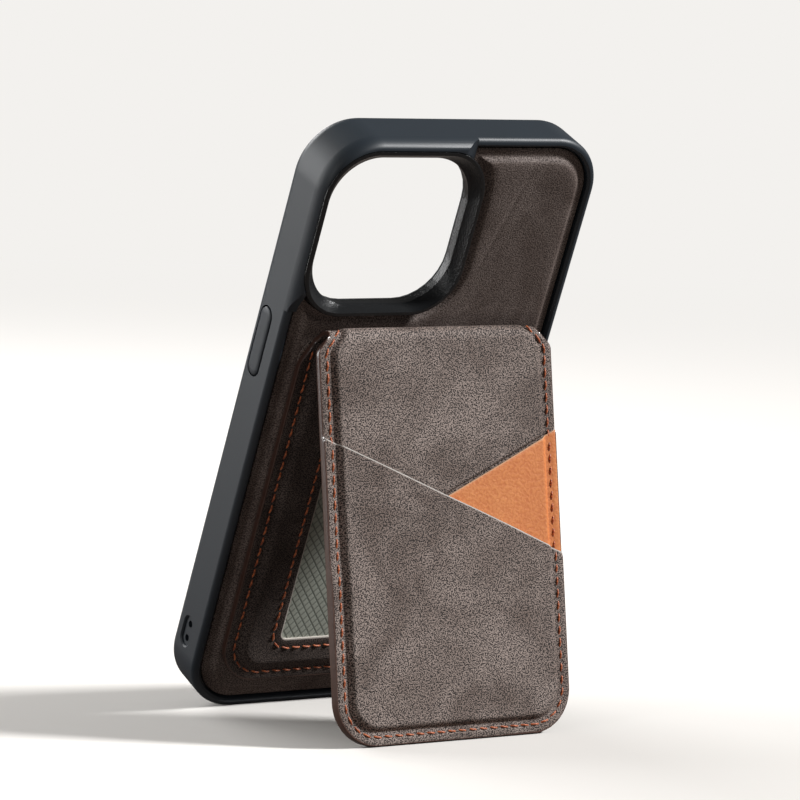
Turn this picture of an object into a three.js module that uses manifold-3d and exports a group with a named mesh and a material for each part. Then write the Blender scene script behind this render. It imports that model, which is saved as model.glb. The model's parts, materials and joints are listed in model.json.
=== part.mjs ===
// A protective case with a leather back, and a magnetic card wallet on it that folds out as a stand.
// Millimetres, +Z up. It stands on its lower rear edge and on the foot of the strut, with the leather
// side facing -Y. The origin is on the standing surface, under the middle of the bounding box.
// Case frame: x across, y up the case, z out of the leather side, with z = 0 on the rear rim.
// Strut frame: origin on the fold axis, y up the strut, z out of its front.

import * as THREE from 'three';
import { mergeVertices } from 'three/addons/utils/BufferGeometryUtils.js';
import Module from 'manifold-3d';

const wasm = await Module();
wasm.setup();

// Cavity and bumper
const cavityWidth = 71.5;
const cavityHeight = 147.5;
const cavityDepth = 8.0;
const caseCorner = 13.5;
const sideWall = 2.3;
const lipThickness = 1.1;
const lipOverhang = 1.1;
const lipChamfer = 0.3;
const frontRounding = 3.2;
const rearRounding = 1.5;
const rimFoot = 2.4;
const rimSlopeDepth = 1.3;
const rimCrownFall = 0.5;
const rimCrownWidth = 0.6;
const shellGrip = 1.1;
const patchFromSide = 12.0;
const patchFromFoot = 24.6;

// Layers of the back, from the cavity outwards
const liningThickness = 0.4;
const shellThickness = 1.3;
const leatherBed = 2.1;
const leatherEdge = 2.7;
const leatherEdgeDrop = 1.1;
const leatherHemDrop = 0.5;
const leatherHem = 2.0;
const leatherSlope = 0.7;
const leatherRise = 0.3;
const layerGap = 0.1;
const edgeGap = 0.3;

// Camera guard, measured from the left side and the top of the case
const guardFromSide = 1.05;
const guardFromTop = 2.2;
const guardWidth = 42.8;
const guardHeight = 42.3;
const guardCorner = 12.0;
const guardRise = 2.3;
const guardRounding = 0.4;
const guardRim = 1.0;
const openingLevel = 1.0;
const openingCorner = 11.5;
const bevelLeft = 3.4;
const bevelRight = 2.1;
const bevelTop = 3.1;
const bevelBottom = 1.8;
const moatWidth = 2.5;

// Raised part of the rim beside the guard, and the coves where it falls to the rim
const topCoveFromGuard = 8.3;
const topCoveLength = 4.3;
const sideCoveFromGuard = 6.9;
const sideCoveLength = 6.5;
const sideCoveShoulder = 1.0;

// Magnets
const ringInner = 22.5;
const ringOuter = 26.0;
const caseRingExtra = 1.0;
const caseMagnetThickness = 0.6;
const walletMagnetThickness = 0.4;
const alignWidth = 6.0;
const alignGap = 5.0;
const alignFromStrike = 6.0;

// Buttons and openings in the side walls
const buttonLevel = 7.5;
const buttonWidth = 4.6;
const powerLength = 17.3;
const powerHeight = 96.5;
const volumeLength = 11.0;
const volumeUpHeight = 105.5;
const volumeDownHeight = 92.9;
const buttonProud = 0.3;
const buttonBevel = 0.25;
const buttonClearance = 0.15;
const buttonTravel = 0.35;
const flangeThickness = 0.6;
const flangeMargin = 0.8;
const portLevel = 8.0;
const switchHeight = 118.3;
const switchLength = 13.0;
const switchWidth = 6.0;
const portLength = 14.0;
const portWidth = 6.4;
const speakerLength = 10.0;
const speakerWidth = 2.6;
const speakerOffset = 18.0;
const strapHeight = 18.2;
const strapLevel = 6.8;
const strapLength = 7.6;
const strapWidth = 3.8;
const strapRecess = 0.45;
const strapHoleRadius = 0.85;
const strapHoleSpacing = 3.8;

// Wallet panel that lies on the leather back
const panelWidth = 64.1;
const panelBottom = 9.0;
const panelBelowGuard = 6.3;
const panelFootCorner = 10.4;
const panelHeadCorner = 5.0;
const backingThickness = 0.4;
const boardInset = 0.8;
const baseBoardThickness = 0.7;
const ringFromTop = 1.8;
const cardThickness = 0.76;
const cardClearance = 0.1;
const filmThickness = 0.2;
const facingThickness = 0.5;
const seamMargin = 2.9;
const padSlope = 1.2;
const windowSide = 14.15;
const windowBottom = 11.6;
const windowTop = 19.3;
const windowCorner = 1.8;
const windowEdgeWidth = 0.6;
const windowEdgeDrop = 0.25;
const filmMargin = 2.2;

// Fold and stand
const foldRise = 3.7;
const foldStandOff = 4.3;
const foldWidth = 57.2;
const foldThickness = 1.0;
const foldStartPull = 2.2;
const foldStartLean = 0.5;
const foldEndPull = 2.5;
const foldOpening = THREE.MathUtils.degToRad(31.54);

// Strut: the wallet's other panel, with two card pockets on its front
const strutFootShort = 0.78;
const strutHead = 1.2;
const strutHeadCorner = 4.0;
const strutInner = 0.25;
const strutLiningThickness = 0.4;
const strutBoardThickness = 0.5;
const strutFacingThickness = 0.45;
const padRise = 0.8;
const tanLeather = 0.4;
const darkLeather = 0.45;
const slotSlack = 0.25;
const mouthDepth = 37.65;
const mouthAngle = THREE.MathUtils.degToRad(24.45);

// Closure magnet and its strike plate
const closureInset = 5.7;
const closureLength = 34.0;
const closureWidth = 3.6;
const strikeThickness = 0.4;

// Drawing finenesses
const cornerSegments = 8;
const smallCornerSegments = 4;
const roundingSegments = 4;
const ringSegments = 48;
const coveSegments = 8;
const foldSegments = 12;
const smallestRadius = 0.3;
const endRoundness = 0.98;
const reach = 5.0;

// Places that follow from the sizes
const caseWidth = cavityWidth + 2 * sideWall;
const caseHeight = cavityHeight + 2 * sideWall;
const bedLevel = -leatherBed;
const shellTop = bedLevel - layerGap;
const shellLow = shellTop - shellThickness;
const liningTop = shellLow - layerGap;
const floorLevel = liningTop - liningThickness;
const lipLevel = floorLevel - cavityDepth;
const frontLevel = lipLevel - lipThickness;
const panelTop = caseHeight - guardFromTop - guardHeight - panelBelowGuard;
const foldHeight = panelTop + foldRise;
const strutLength = foldHeight - panelBottom - strutFootShort;
const footReach = Math.hypot(strutLength, strutInner);
const footAngle = foldOpening + Math.atan2(strutInner, strutLength);
const ringHeight = panelTop - ringFromTop - ringOuter;
const closureHeight = panelBottom + closureInset;
const alignTop = ringHeight - ringOuter - alignGap;
const alignBottom = closureHeight + closureWidth / 2 + alignFromStrike;

// The case leans back until its lower rear edge and the strut's foot stand on one surface.
const standRise = foldHeight - rearRounding - footReach * Math.cos(footAngle);
const standSpread = foldStandOff + rearRounding + footReach * Math.sin(footAngle);
const standReach = Math.hypot(standRise, standSpread);
const caseTilt = Math.acos(-rearRounding / standReach) - Math.atan2(standSpread, standRise);

// A rectangle with rounded corners, given by its four sides.
function frame(left, right, bottom, top, footRadius, headRadius = footRadius) {
  return { left, right, bottom, top, footRadius, headRadius };
}

function grow(box, by) {
  return frame(
    box.left - by,
    box.right + by,
    box.bottom - by,
    box.top + by,
    Math.max(box.footRadius + by, smallestRadius),
    Math.max(box.headRadius + by, smallestRadius),
  );
}

const inset = (box, by) => grow(box, -by);

// Points round the rectangle, anticlockwise from the lower right corner.
function outline(box, segments = cornerSegments) {
  const corners = [
    [box.right - box.footRadius, box.bottom + box.footRadius, box.footRadius, -Math.PI / 2],
    [box.right - box.headRadius, box.top - box.headRadius, box.headRadius, 0],
    [box.left + box.headRadius, box.top - box.headRadius, box.headRadius, Math.PI / 2],
    [box.left + box.footRadius, box.bottom + box.footRadius, box.footRadius, Math.PI],
  ];
  const points = [];
  for (const [x, y, radius, start] of corners) {
    for (let step = 0; step <= segments; step += 1) {
      const angle = start + (Math.PI / 2) * (step / segments);
      points.push([x + radius * Math.cos(angle), y + radius * Math.sin(angle)]);
    }
  }
  return points;
}

// A long hole or button with round ends, lying along x.
function stadium(length, width) {
  return frame(-length / 2, length / 2, -width / 2, width / 2, endRoundness * width / 2);
}

function meshOf(positions, faces) {
  const geometry = new THREE.BufferGeometry();
  geometry.setAttribute('position', new THREE.Float32BufferAttribute(positions, 3));
  geometry.setIndex(faces);
  return geometry;
}

function signedVolume(positions, faces) {
  const [a, b, c] = [new THREE.Vector3(), new THREE.Vector3(), new THREE.Vector3()];
  let sum = 0;
  for (let i = 0; i < faces.length; i += 3) {
    a.fromArray(positions, 3 * faces[i]);
    b.fromArray(positions, 3 * faces[i + 1]);
    c.fromArray(positions, 3 * faces[i + 2]);
    sum += a.dot(b.cross(c)) / 6;
  }
  return sum;
}

// A closed surface through rings with equal numbers of points. A hollow body joins its last ring to
// its first; any other has a flat end at its first and its last ring.
function loft(rings, hollow = false) {
  const count = rings[0].points.length;
  const positions = rings.flatMap((ring) => ring.points.flatMap(([x, y]) => [x, y, ring.level]));
  const faces = [];
  const bands = hollow ? rings.length : rings.length - 1;
  for (let band = 0; band < bands; band += 1) {
    const low = band * count;
    const high = ((band + 1) % rings.length) * count;
    for (let i = 0; i < count; i += 1) {
      const next = (i + 1) % count;
      faces.push(low + i, low + next, high + next, low + i, high + next, high + i);
    }
  }
  if (!hollow) {
    const last = (rings.length - 1) * count;
    for (let i = 1; i < count - 1; i += 1) {
      faces.push(0, i + 1, i, last, last + i, last + i + 1);
    }
  }
  if (signedVolume(positions, faces) < 0) faces.reverse();
  return meshOf(positions, faces);
}

const ring = (box, level, segments) => ({ points: outline(box, segments), level });

function slab(box, low, high, segments) {
  return loft([ring(box, low, segments), ring(box, high, segments)]);
}

// Joining and cutting
function solidOf(geometry) {
  const bare = geometry.clone();
  bare.deleteAttribute('normal');
  bare.deleteAttribute('uv');
  const merged = mergeVertices(bare, 1e-5);
  return new wasm.Manifold(new wasm.Mesh({
    numProp: 3,
    vertProperties: new Float32Array(merged.attributes.position.array),
    triVerts: new Uint32Array(merged.index.array),
  }));
}

function geometryOf(solid) {
  const { vertProperties, triVerts } = solid.getMesh();
  return meshOf(Array.from(vertProperties), Array.from(triVerts));
}

function cut(base, ...tools) {
  let solid = solidOf(base);
  for (const tool of tools) solid = solid.subtract(solidOf(tool));
  return geometryOf(solid);
}

function join(base, ...others) {
  let solid = solidOf(base);
  for (const other of others) solid = solid.add(solidOf(other));
  return geometryOf(solid);
}

const common = (base, other) => geometryOf(solidOf(base).intersect(solidOf(other)));

// A straight prism over a polygon.
function prism(points, low, high) {
  const shape = new THREE.Shape(points.map(([x, y]) => new THREE.Vector2(x, y)));
  const geometry = new THREE.ExtrudeGeometry(shape, { depth: high - low, bevelEnabled: false });
  return geometry.translate(0, 0, low);
}

function ringBody(inner, outer, low, high) {
  const corners = [[inner, low], [outer, low], [outer, high], [inner, high], [inner, low]];
  const profile = corners.map(([x, y]) => new THREE.Vector2(x, y));
  return new THREE.LatheGeometry(profile, ringSegments).rotateX(Math.PI / 2);
}

// Frames on the side walls: x along the wall, z outwards, origin on the wall's outer face.
function wallMatrix(along, outward, place) {
  const across = new THREE.Vector3().crossVectors(outward, along);
  return new THREE.Matrix4().makeBasis(along, across, outward).setPosition(place);
}

const up = new THREE.Vector3(0, 1, 0);
const right = new THREE.Vector3(1, 0, 0);
const out = new THREE.Vector3(0, 0, 1);
const left = right.clone().negate();
const down = up.clone().negate();

const onLeft = (height, depth) => wallMatrix(up, left, new THREE.Vector3(-caseWidth / 2, height, -depth));
const onRight = (height, depth) => wallMatrix(up, right, new THREE.Vector3(caseWidth / 2, height, -depth));
const onBottom = (x, depth) => wallMatrix(right, down, new THREE.Vector3(x, 0, -depth));

const caseOutline = frame(-caseWidth / 2, caseWidth / 2, 0, caseHeight, caseCorner);

const guardOutline = frame(
  caseOutline.left + guardFromSide,
  caseOutline.left + guardFromSide + guardWidth,
  caseOutline.top - guardFromTop - guardHeight,
  caseOutline.top - guardFromTop,
  guardCorner,
);

const cameraOpening = frame(
  guardOutline.left + bevelLeft,
  guardOutline.right - bevelRight,
  guardOutline.bottom + bevelBottom,
  guardOutline.top - bevelTop,
  openingCorner,
);

const panelOutline = frame(
  -panelWidth / 2,
  panelWidth / 2,
  panelBottom,
  panelTop,
  panelFootCorner,
  panelHeadCorner,
);

const strutOutline = frame(
  -panelWidth / 2,
  panelWidth / 2,
  -strutLength,
  -strutHead,
  panelFootCorner,
  strutHeadCorner,
);

const windowOutline = frame(
  panelOutline.left + windowSide,
  panelOutline.right - windowSide,
  panelOutline.bottom + windowBottom,
  panelOutline.top - windowTop,
  windowCorner,
);

// Bumper: one soft moulding with the front lip, the groove that grips the shell and the rear rim.
function bumperRing() {
  const profile = [];
  for (let step = 0; step <= roundingSegments; step += 1) {
    const angle = (Math.PI / 2) * (step / roundingSegments);
    profile.push([rearRounding * (1 - Math.sin(angle)), -rearRounding * (1 - Math.cos(angle))]);
  }
  for (let step = 0; step <= roundingSegments; step += 1) {
    const angle = (Math.PI / 2) * (step / roundingSegments);
    const fall = frontRounding * (1 - Math.sin(angle));
    profile.push([frontRounding * (1 - Math.cos(angle)), frontLevel + fall]);
  }
  const lipEdge = sideWall + lipOverhang;
  const grooveDepth = sideWall - shellGrip;
  profile.push([lipEdge, frontLevel + lipChamfer], [lipEdge, lipLevel], [sideWall, lipLevel]);
  profile.push([sideWall, liningTop], [grooveDepth, liningTop]);
  profile.push([grooveDepth, bedLevel], [rimFoot, bedLevel], [rimFoot, -rimSlopeDepth]);
  profile.push([rearRounding + rimCrownWidth, -rimCrownFall]);
  return loft(profile.map(([from, level]) => ring(inset(caseOutline, from), level)), true);
}

// Plan of the raised rim beside the guard; margin widens it for the cut in the leather.
function islandPlan(margin) {
  const rimLine = caseOutline.left + leatherEdge;
  const sideEnd = guardOutline.bottom + sideCoveFromGuard - sideCoveLength;
  const shoulder = sideEnd + sideCoveLength - sideCoveShoulder;
  const topEnd = guardOutline.right - topCoveFromGuard + topCoveLength;
  return [
    [caseOutline.left - reach, sideEnd - margin],
    [rimLine + margin, sideEnd - margin],
    [rimLine + margin, shoulder - margin],
    [guardOutline.left + guardCorner / 2, guardOutline.bottom + guardCorner],
    [guardOutline.right - guardCorner, guardOutline.top - guardCorner / 2],
    [topEnd + margin, guardOutline.top - guardCorner / 4],
    [topEnd + margin, caseOutline.top + reach],
    [caseOutline.left - reach, caseOutline.top + reach],
  ];
}

// The cutter for a cove that falls from the raised rim to the rim along x, from x = 0 to x = length.
function coveCutter(length, depth) {
  const shape = new THREE.Shape();
  shape.moveTo(0, guardRise);
  shape.absellipse(length, guardRise, length, guardRise, Math.PI, 1.5 * Math.PI, false);
  shape.lineTo(length + reach, 0);
  shape.lineTo(length + reach, guardRise + reach);
  shape.lineTo(0, guardRise + reach);
  shape.closePath();
  return new THREE.ExtrudeGeometry(shape, { depth, bevelEnabled: false, curveSegments: coveSegments });
}

function raisedRim() {
  const rings = [ring(caseOutline, bedLevel)];
  for (let step = 0; step <= roundingSegments; step += 1) {
    const angle = (Math.PI / 2) * (step / roundingSegments);
    const level = guardRise - rearRounding * (1 - Math.sin(angle));
    rings.push(ring(inset(caseOutline, rearRounding * (1 - Math.cos(angle))), level));
  }
  const plan = prism(islandPlan(0), bedLevel, guardRise + reach);
  const topStart = guardOutline.right - topCoveFromGuard;
  const topPlace = new THREE.Vector3(topStart, caseOutline.top + reach, 0);
  const topCove = coveCutter(topCoveLength, guardCorner + reach)
    .applyMatrix4(new THREE.Matrix4().makeBasis(right, out, down).setPosition(topPlace));
  const sideStart = guardOutline.bottom + sideCoveFromGuard;
  const sidePlace = new THREE.Vector3(guardOutline.left + guardCorner, sideStart, 0);
  const sideCove = coveCutter(sideCoveLength, guardCorner + reach)
    .applyMatrix4(new THREE.Matrix4().makeBasis(down, out, left).setPosition(sidePlace));
  return cut(common(loft(rings), plan), topCove, sideCove);
}

function buttonHole(length) {
  const flangeTop = -sideWall + flangeThickness + buttonTravel + 2 * layerGap;
  const hole = stadium(length + 2 * buttonClearance, buttonWidth + 2 * buttonClearance);
  const recess = grow(stadium(length, buttonWidth), flangeMargin + buttonClearance);
  return join(
    slab(hole, -sideWall, reach, smallCornerSegments),
    slab(recess, -sideWall - reach, flangeTop, smallCornerSegments),
  );
}

function strapCutters() {
  const recess = slab(stadium(strapLength, strapWidth), -strapRecess, reach, smallCornerSegments);
  const holes = [-1, 1].map((side) => new THREE.CylinderGeometry(
    strapHoleRadius,
    strapHoleRadius,
    2 * sideWall,
    3 * smallCornerSegments,
  ).rotateX(Math.PI / 2).translate(side * strapHoleSpacing / 2, 0, -sideWall));
  return [recess, ...holes];
}

function bumper() {
  const guardSeat = slab(grow(guardOutline, layerGap), shellTop, guardRise + reach);
  const through = (length, width) => slab(
    stadium(length, width),
    -sideWall - lipOverhang,
    reach,
    smallCornerSegments,
  );
  const openings = [
    buttonHole(powerLength).applyMatrix4(onLeft(powerHeight, buttonLevel)),
    buttonHole(volumeLength).applyMatrix4(onRight(volumeUpHeight, buttonLevel)),
    buttonHole(volumeLength).applyMatrix4(onRight(volumeDownHeight, buttonLevel)),
    through(switchLength, switchWidth).applyMatrix4(onRight(switchHeight, portLevel)),
    through(portLength, portWidth).applyMatrix4(onBottom(0, portLevel)),
    through(speakerLength, speakerWidth).applyMatrix4(onBottom(-speakerOffset, portLevel)),
    through(speakerLength, speakerWidth).applyMatrix4(onBottom(speakerOffset, portLevel)),
    ...strapCutters().map((tool) => tool.applyMatrix4(onLeft(strapHeight, strapLevel))),
  ];
  return cut(join(bumperRing(), raisedRim()), guardSeat, ...openings);
}

// Push button: a cap through the wall, with a flange behind it that keeps it in.
function button(length) {
  const flangeTop = -sideWall + flangeThickness + buttonTravel + layerGap;
  const cap = stadium(length, buttonWidth);
  const flange = grow(cap, flangeMargin);
  return loft([
    ring(flange, flangeTop - flangeThickness, smallCornerSegments),
    ring(flange, flangeTop, smallCornerSegments),
    ring(cap, flangeTop, smallCornerSegments),
    ring(cap, buttonProud - buttonBevel, smallCornerSegments),
    ring(inset(cap, buttonBevel), buttonProud, smallCornerSegments),
  ]);
}

function magnetRing(extra, low, high) {
  return ringBody(ringInner - extra, ringOuter + extra, low, high).translate(0, ringHeight, 0);
}

function alignmentBar(extra, low, high) {
  const side = alignWidth / 2;
  const plan = grow(frame(-side, side, alignBottom, alignTop, smallestRadius), extra);
  return slab(plan, low, high, smallCornerSegments);
}

function shell() {
  const plate = slab(inset(caseOutline, sideWall - shellGrip + layerGap), shellLow, shellTop);
  const grooveLow = shellTop - caseMagnetThickness - layerGap;
  return cut(
    plate,
    slab(grow(cameraOpening, edgeGap), shellLow - reach, shellTop + reach),
    magnetRing(caseRingExtra + layerGap, grooveLow, shellTop + reach),
    alignmentBar(layerGap, grooveLow, shellTop + reach),
  );
}

// The cavity floor: a thin sheet with the camera opening. The flat patch in its middle is where
// the thing that the case holds rests.
function lining() {
  const outer = outline(inset(caseOutline, sideWall + layerGap));
  const hole = outline(grow(cameraOpening, edgeGap)).reverse();
  const patchHalf = cavityWidth / 2 - patchFromSide;
  const patchTop = ringHeight;
  const patchBottom = patchFromFoot;
  const patch = [
    [-patchHalf, patchBottom],
    [-patchHalf, patchTop],
    [patchHalf, patchTop],
    [patchHalf, patchBottom],
  ];
  const toVectors = (points) => points.map(([x, y]) => new THREE.Vector2(x, y));
  const plan = [...outer, ...hole, ...patch];
  const first = outer.length + hole.length;
  const flats = THREE.ShapeUtils.triangulateShape(toVectors(outer), [toVectors(hole), toVectors(patch)]);
  flats.push([first, first + 2, first + 1], [first, first + 3, first + 2]);
  const positions = [];
  for (const level of [floorLevel, liningTop]) {
    for (const [x, y] of plan) positions.push(x, y, level);
  }
  const faces = [];
  for (const corners of flats) {
    const [a, b, c] = corners.map((corner) => plan[corner]);
    const area = (b[0] - a[0]) * (c[1] - a[1]) - (c[0] - a[0]) * (b[1] - a[1]);
    const [i, j, k] = area > 0 ? corners : [corners[0], corners[2], corners[1]];
    faces.push(i, k, j, plan.length + i, plan.length + j, plan.length + k);
  }
  for (const [start, count] of [[0, outer.length], [outer.length, hole.length]]) {
    for (let i = 0; i < count; i += 1) {
      const [near, far] = [start + i, start + (i + 1) % count];
      faces.push(near, far, plan.length + far, near, plan.length + far, plan.length + near);
    }
  }
  return meshOf(positions, faces);
}

// Camera guard: a raised ring with a wide bevel down to the opening.
function guard() {
  const crest = inset(guardOutline, guardRounding);
  return loft([
    ring(guardOutline, bedLevel),
    ring(guardOutline, guardRise - guardRounding),
    ring(crest, guardRise),
    ring(inset(crest, guardRim - guardRounding), guardRise),
    ring(cameraOpening, -openingLevel),
    ring(cameraOpening, bedLevel),
  ], true);
}

// Back leather: a padded panel with a thin hem, cut out round the guard.
function backLeather() {
  const edge = inset(caseOutline, leatherEdge);
  const panel = loft([
    ring(edge, bedLevel),
    ring(edge, -leatherEdgeDrop),
    ring(inset(edge, leatherHemDrop), -leatherHemDrop),
    ring(inset(edge, leatherHem), -leatherHemDrop),
    ring(inset(edge, leatherHem + leatherSlope), leatherRise),
  ]);
  const moat = loft([
    ring(grow(guardOutline, moatWidth - leatherSlope), -leatherHemDrop),
    ring(grow(guardOutline, moatWidth), leatherRise),
    ring(grow(guardOutline, moatWidth), leatherRise + reach),
  ]);
  return cut(
    panel,
    moat,
    slab(grow(guardOutline, edgeGap), bedLevel - reach, leatherRise + reach),
    prism(islandPlan(edgeGap), bedLevel - reach, leatherRise + reach),
  );
}

// Levels of the wallet's back panel, from the leather back outwards
const backingLow = leatherRise + layerGap;
const baseLow = backingLow + backingThickness + layerGap;
const baseTop = baseLow + baseBoardThickness;
const filmLow = baseTop + cardThickness + cardClearance;
const padLow = filmLow + filmThickness + layerGap;
const seamLow = baseTop + layerGap;

function bar(height, extra, low, high) {
  const [length, width] = [closureLength / 2 + extra, closureWidth / 2 + extra];
  const box = frame(-length, length, height - width, height + width, smallestRadius);
  return slab(box, low, high, smallCornerSegments);
}

function baseBoard() {
  return cut(
    slab(inset(panelOutline, boardInset), baseLow, baseTop),
    magnetRing(layerGap, baseLow - reach, baseLow + walletMagnetThickness + layerGap),
    alignmentBar(layerGap, baseLow - reach, baseLow + walletMagnetThickness + layerGap),
    bar(closureHeight, layerGap, baseTop - strikeThickness - layerGap, baseTop + reach),
  );
}

// Leather with the window, sewn down at the sides and foot, and open at its head for the card.
function windowFacing() {
  const toHead = (box) => frame(
    box.left,
    box.right,
    box.bottom,
    panelOutline.top - smallestRadius,
    box.footRadius,
    box.headRadius,
  );
  const seam = toHead(inset(panelOutline, seamMargin));
  const pad = toHead(inset(panelOutline, seamMargin + padSlope));
  return loft([
    ring(panelOutline, seamLow),
    ring(panelOutline, seamLow + facingThickness),
    ring(seam, seamLow + facingThickness),
    ring(pad, padLow + facingThickness),
    ring(grow(windowOutline, windowEdgeWidth), padLow + facingThickness),
    ring(windowOutline, padLow + facingThickness - windowEdgeDrop),
    ring(windowOutline, padLow),
    ring(pad, padLow),
    ring(seam, seamLow),
  ], true);
}

// The leather strip over the fold, drawn as a section across the fold and extruded along it.
function foldSpine(strutGroup) {
  const onStrut = (y, z) => new THREE.Vector3(0, y, z).applyMatrix4(strutGroup.matrix);
  const strutMiddle = strutInner + strutLiningThickness + strutBoardThickness;
  const start = new THREE.Vector3(0, panelTop + edgeGap, baseLow + foldThickness / 2);
  const end = onStrut(edgeGap - strutHead, strutMiddle);
  const beyond = onStrut(edgeGap - strutHead + foldEndPull, strutMiddle);
  const rise = start.clone().add(new THREE.Vector3(0, foldStartPull, foldStartLean));
  const path = new THREE.CubicBezierCurve3(start, rise, beyond, end);
  const near = [];
  const far = [];
  for (let step = 0; step <= foldSegments; step += 1) {
    const place = path.getPoint(step / foldSegments);
    const heading = path.getTangent(step / foldSegments);
    const side = new THREE.Vector2(-heading.z, heading.y).multiplyScalar(foldThickness / 2);
    near.push([place.y + side.x, place.z + side.y]);
    far.unshift([place.y - side.x, place.z - side.y]);
  }
  const section = prism([...near, ...far], -foldWidth / 2, foldWidth / 2);
  return section.applyMatrix4(new THREE.Matrix4().makeBasis(up, out, right));
}

// Levels of the strut, from the side that closes on the wallet to the front
const strutBoardLow = strutInner + strutLiningThickness + layerGap;
const strutFacingLow = strutBoardLow + strutBoardThickness + layerGap;
const strutSeamTop = strutFacingLow + strutFacingThickness;
const padTop = strutSeamTop + padRise;
const tanSeamLow = strutSeamTop + layerGap;
const tanPadLow = padTop + slotSlack;
const darkSeamLow = tanSeamLow + tanLeather + layerGap;
const darkPadLow = tanPadLow + tanLeather + slotSlack;

// A leather sheet sewn down round its edge and lifted inside it. The head end stays lifted.
function sewnSheet(seamLow, padLow, thickness) {
  const head = strutOutline.top - smallestRadius;
  const seam = { ...inset(strutOutline, seamMargin), top: head };
  const pad = { ...inset(strutOutline, seamMargin + padSlope), top: head };
  return loft([
    ring(pad, padLow),
    ring(seam, seamLow),
    ring(strutOutline, seamLow),
    ring(strutOutline, seamLow + thickness),
    ring(seam, seamLow + thickness),
    ring(pad, padLow + thickness),
  ]);
}

// Everything below a slanted pocket mouth; side is 1 where the mouth is high on the left.
function belowMouth(side) {
  const half = panelWidth / 2 + reach;
  const middle = -strutHead - mouthDepth;
  const climb = half * Math.tan(mouthAngle) * side;
  const foot = -strutLength - reach;
  const corners = [[-half, foot], [half, foot], [half, middle - climb], [-half, middle + climb]];
  return prism(corners, -reach, darkPadLow + reach);
}

function strutBoard() {
  const window = bar(closureHeight - foldHeight, layerGap, -reach, reach);
  return cut(slab(inset(strutOutline, boardInset), strutBoardLow, strutBoardLow + strutBoardThickness), window);
}

function strutFacing() {
  const seam = inset(strutOutline, seamMargin);
  const head = { top: strutOutline.top - smallestRadius };
  return loft([
    ring(strutOutline, strutFacingLow),
    ring(strutOutline, strutSeamTop),
    ring({ ...seam, ...head }, strutSeamTop),
    ring({ ...inset(seam, padSlope), ...head }, padTop),
  ]);
}

// Finishes
const finish = (color, roughness, metalness = 0) => ({ color, roughness, metalness });
const slateBumper = finish(0x3b424a, 0.48);
const blackPlastic = finish(0x17181a, 0.45);
const microfibre = finish(0x26282b, 0.95);
const taupeLeather = finish(0x5f534d, 0.8);
const darkLining = finish(0x3a322d, 0.85);
const tanHide = finish(0xbf6a35, 0.6);
const clearFilm = finish(0x9aa19b, 0.25);
const greyboard = finish(0x6d675f, 0.95);
const magnetMetal = finish(0x8c9096, 0.35, 1);

function piece(parent, name, geometry, look, matrix) {
  const mesh = new THREE.Mesh(geometry, new THREE.MeshStandardMaterial(look));
  mesh.name = name;
  if (matrix) matrix.decompose(mesh.position, mesh.quaternion, mesh.scale);
  parent.add(mesh);
  return mesh;
}

// The case, its buttons and magnets
const caseGroup = new THREE.Group();
caseGroup.rotation.x = Math.PI / 2 + caseTilt;
const caseMagnetLow = shellTop - caseMagnetThickness - layerGap / 2;
const caseMagnetTop = shellTop - layerGap / 2;
piece(caseGroup, 'bumper_frame', bumper(), slateBumper);
piece(caseGroup, 'back_shell', shell(), blackPlastic);
piece(caseGroup, 'inner_lining', lining(), microfibre);
piece(caseGroup, 'camera_guard', guard(), blackPlastic);
piece(caseGroup, 'back_leather', backLeather(), taupeLeather);
piece(caseGroup, 'case_magnet_ring', magnetRing(caseRingExtra, caseMagnetLow, caseMagnetTop), magnetMetal);
piece(caseGroup, 'case_alignment_magnet', alignmentBar(0, caseMagnetLow, caseMagnetTop), magnetMetal);
piece(caseGroup, 'power_button', button(powerLength), slateBumper, onLeft(powerHeight, buttonLevel));
piece(caseGroup, 'volume_up_button', button(volumeLength), slateBumper, onRight(volumeUpHeight, buttonLevel));
piece(
  caseGroup,
  'volume_down_button',
  button(volumeLength),
  slateBumper,
  onRight(volumeDownHeight, buttonLevel),
);

// The wallet's back panel
const walletMagnetLow = baseLow + layerGap / 2;
const walletMagnetTop = walletMagnetLow + walletMagnetThickness;
const strikeLow = baseTop - strikeThickness - layerGap / 2;
const film = grow(windowOutline, filmMargin);
piece(caseGroup, 'wallet_backing', slab(panelOutline, backingLow, backingLow + backingThickness), taupeLeather);
piece(caseGroup, 'wallet_base_board', baseBoard(), greyboard);
piece(caseGroup, 'wallet_magnet_ring', magnetRing(0, walletMagnetLow, walletMagnetTop), magnetMetal);
piece(
  caseGroup,
  'wallet_alignment_magnet',
  alignmentBar(0, walletMagnetLow, walletMagnetTop),
  magnetMetal,
);
piece(caseGroup, 'closure_strike', bar(closureHeight, 0, strikeLow, strikeLow + strikeThickness), magnetMetal);
piece(caseGroup, 'window_facing', windowFacing(), darkLining);
piece(caseGroup, 'id_window', slab(film, filmLow, filmLow + filmThickness, smallCornerSegments), clearFilm);

// The strut, folded out at the fold
const strutGroup = new THREE.Group();
strutGroup.position.set(0, foldHeight, foldStandOff);
strutGroup.rotation.x = -foldOpening;
strutGroup.updateMatrix();
caseGroup.add(strutGroup);

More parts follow.
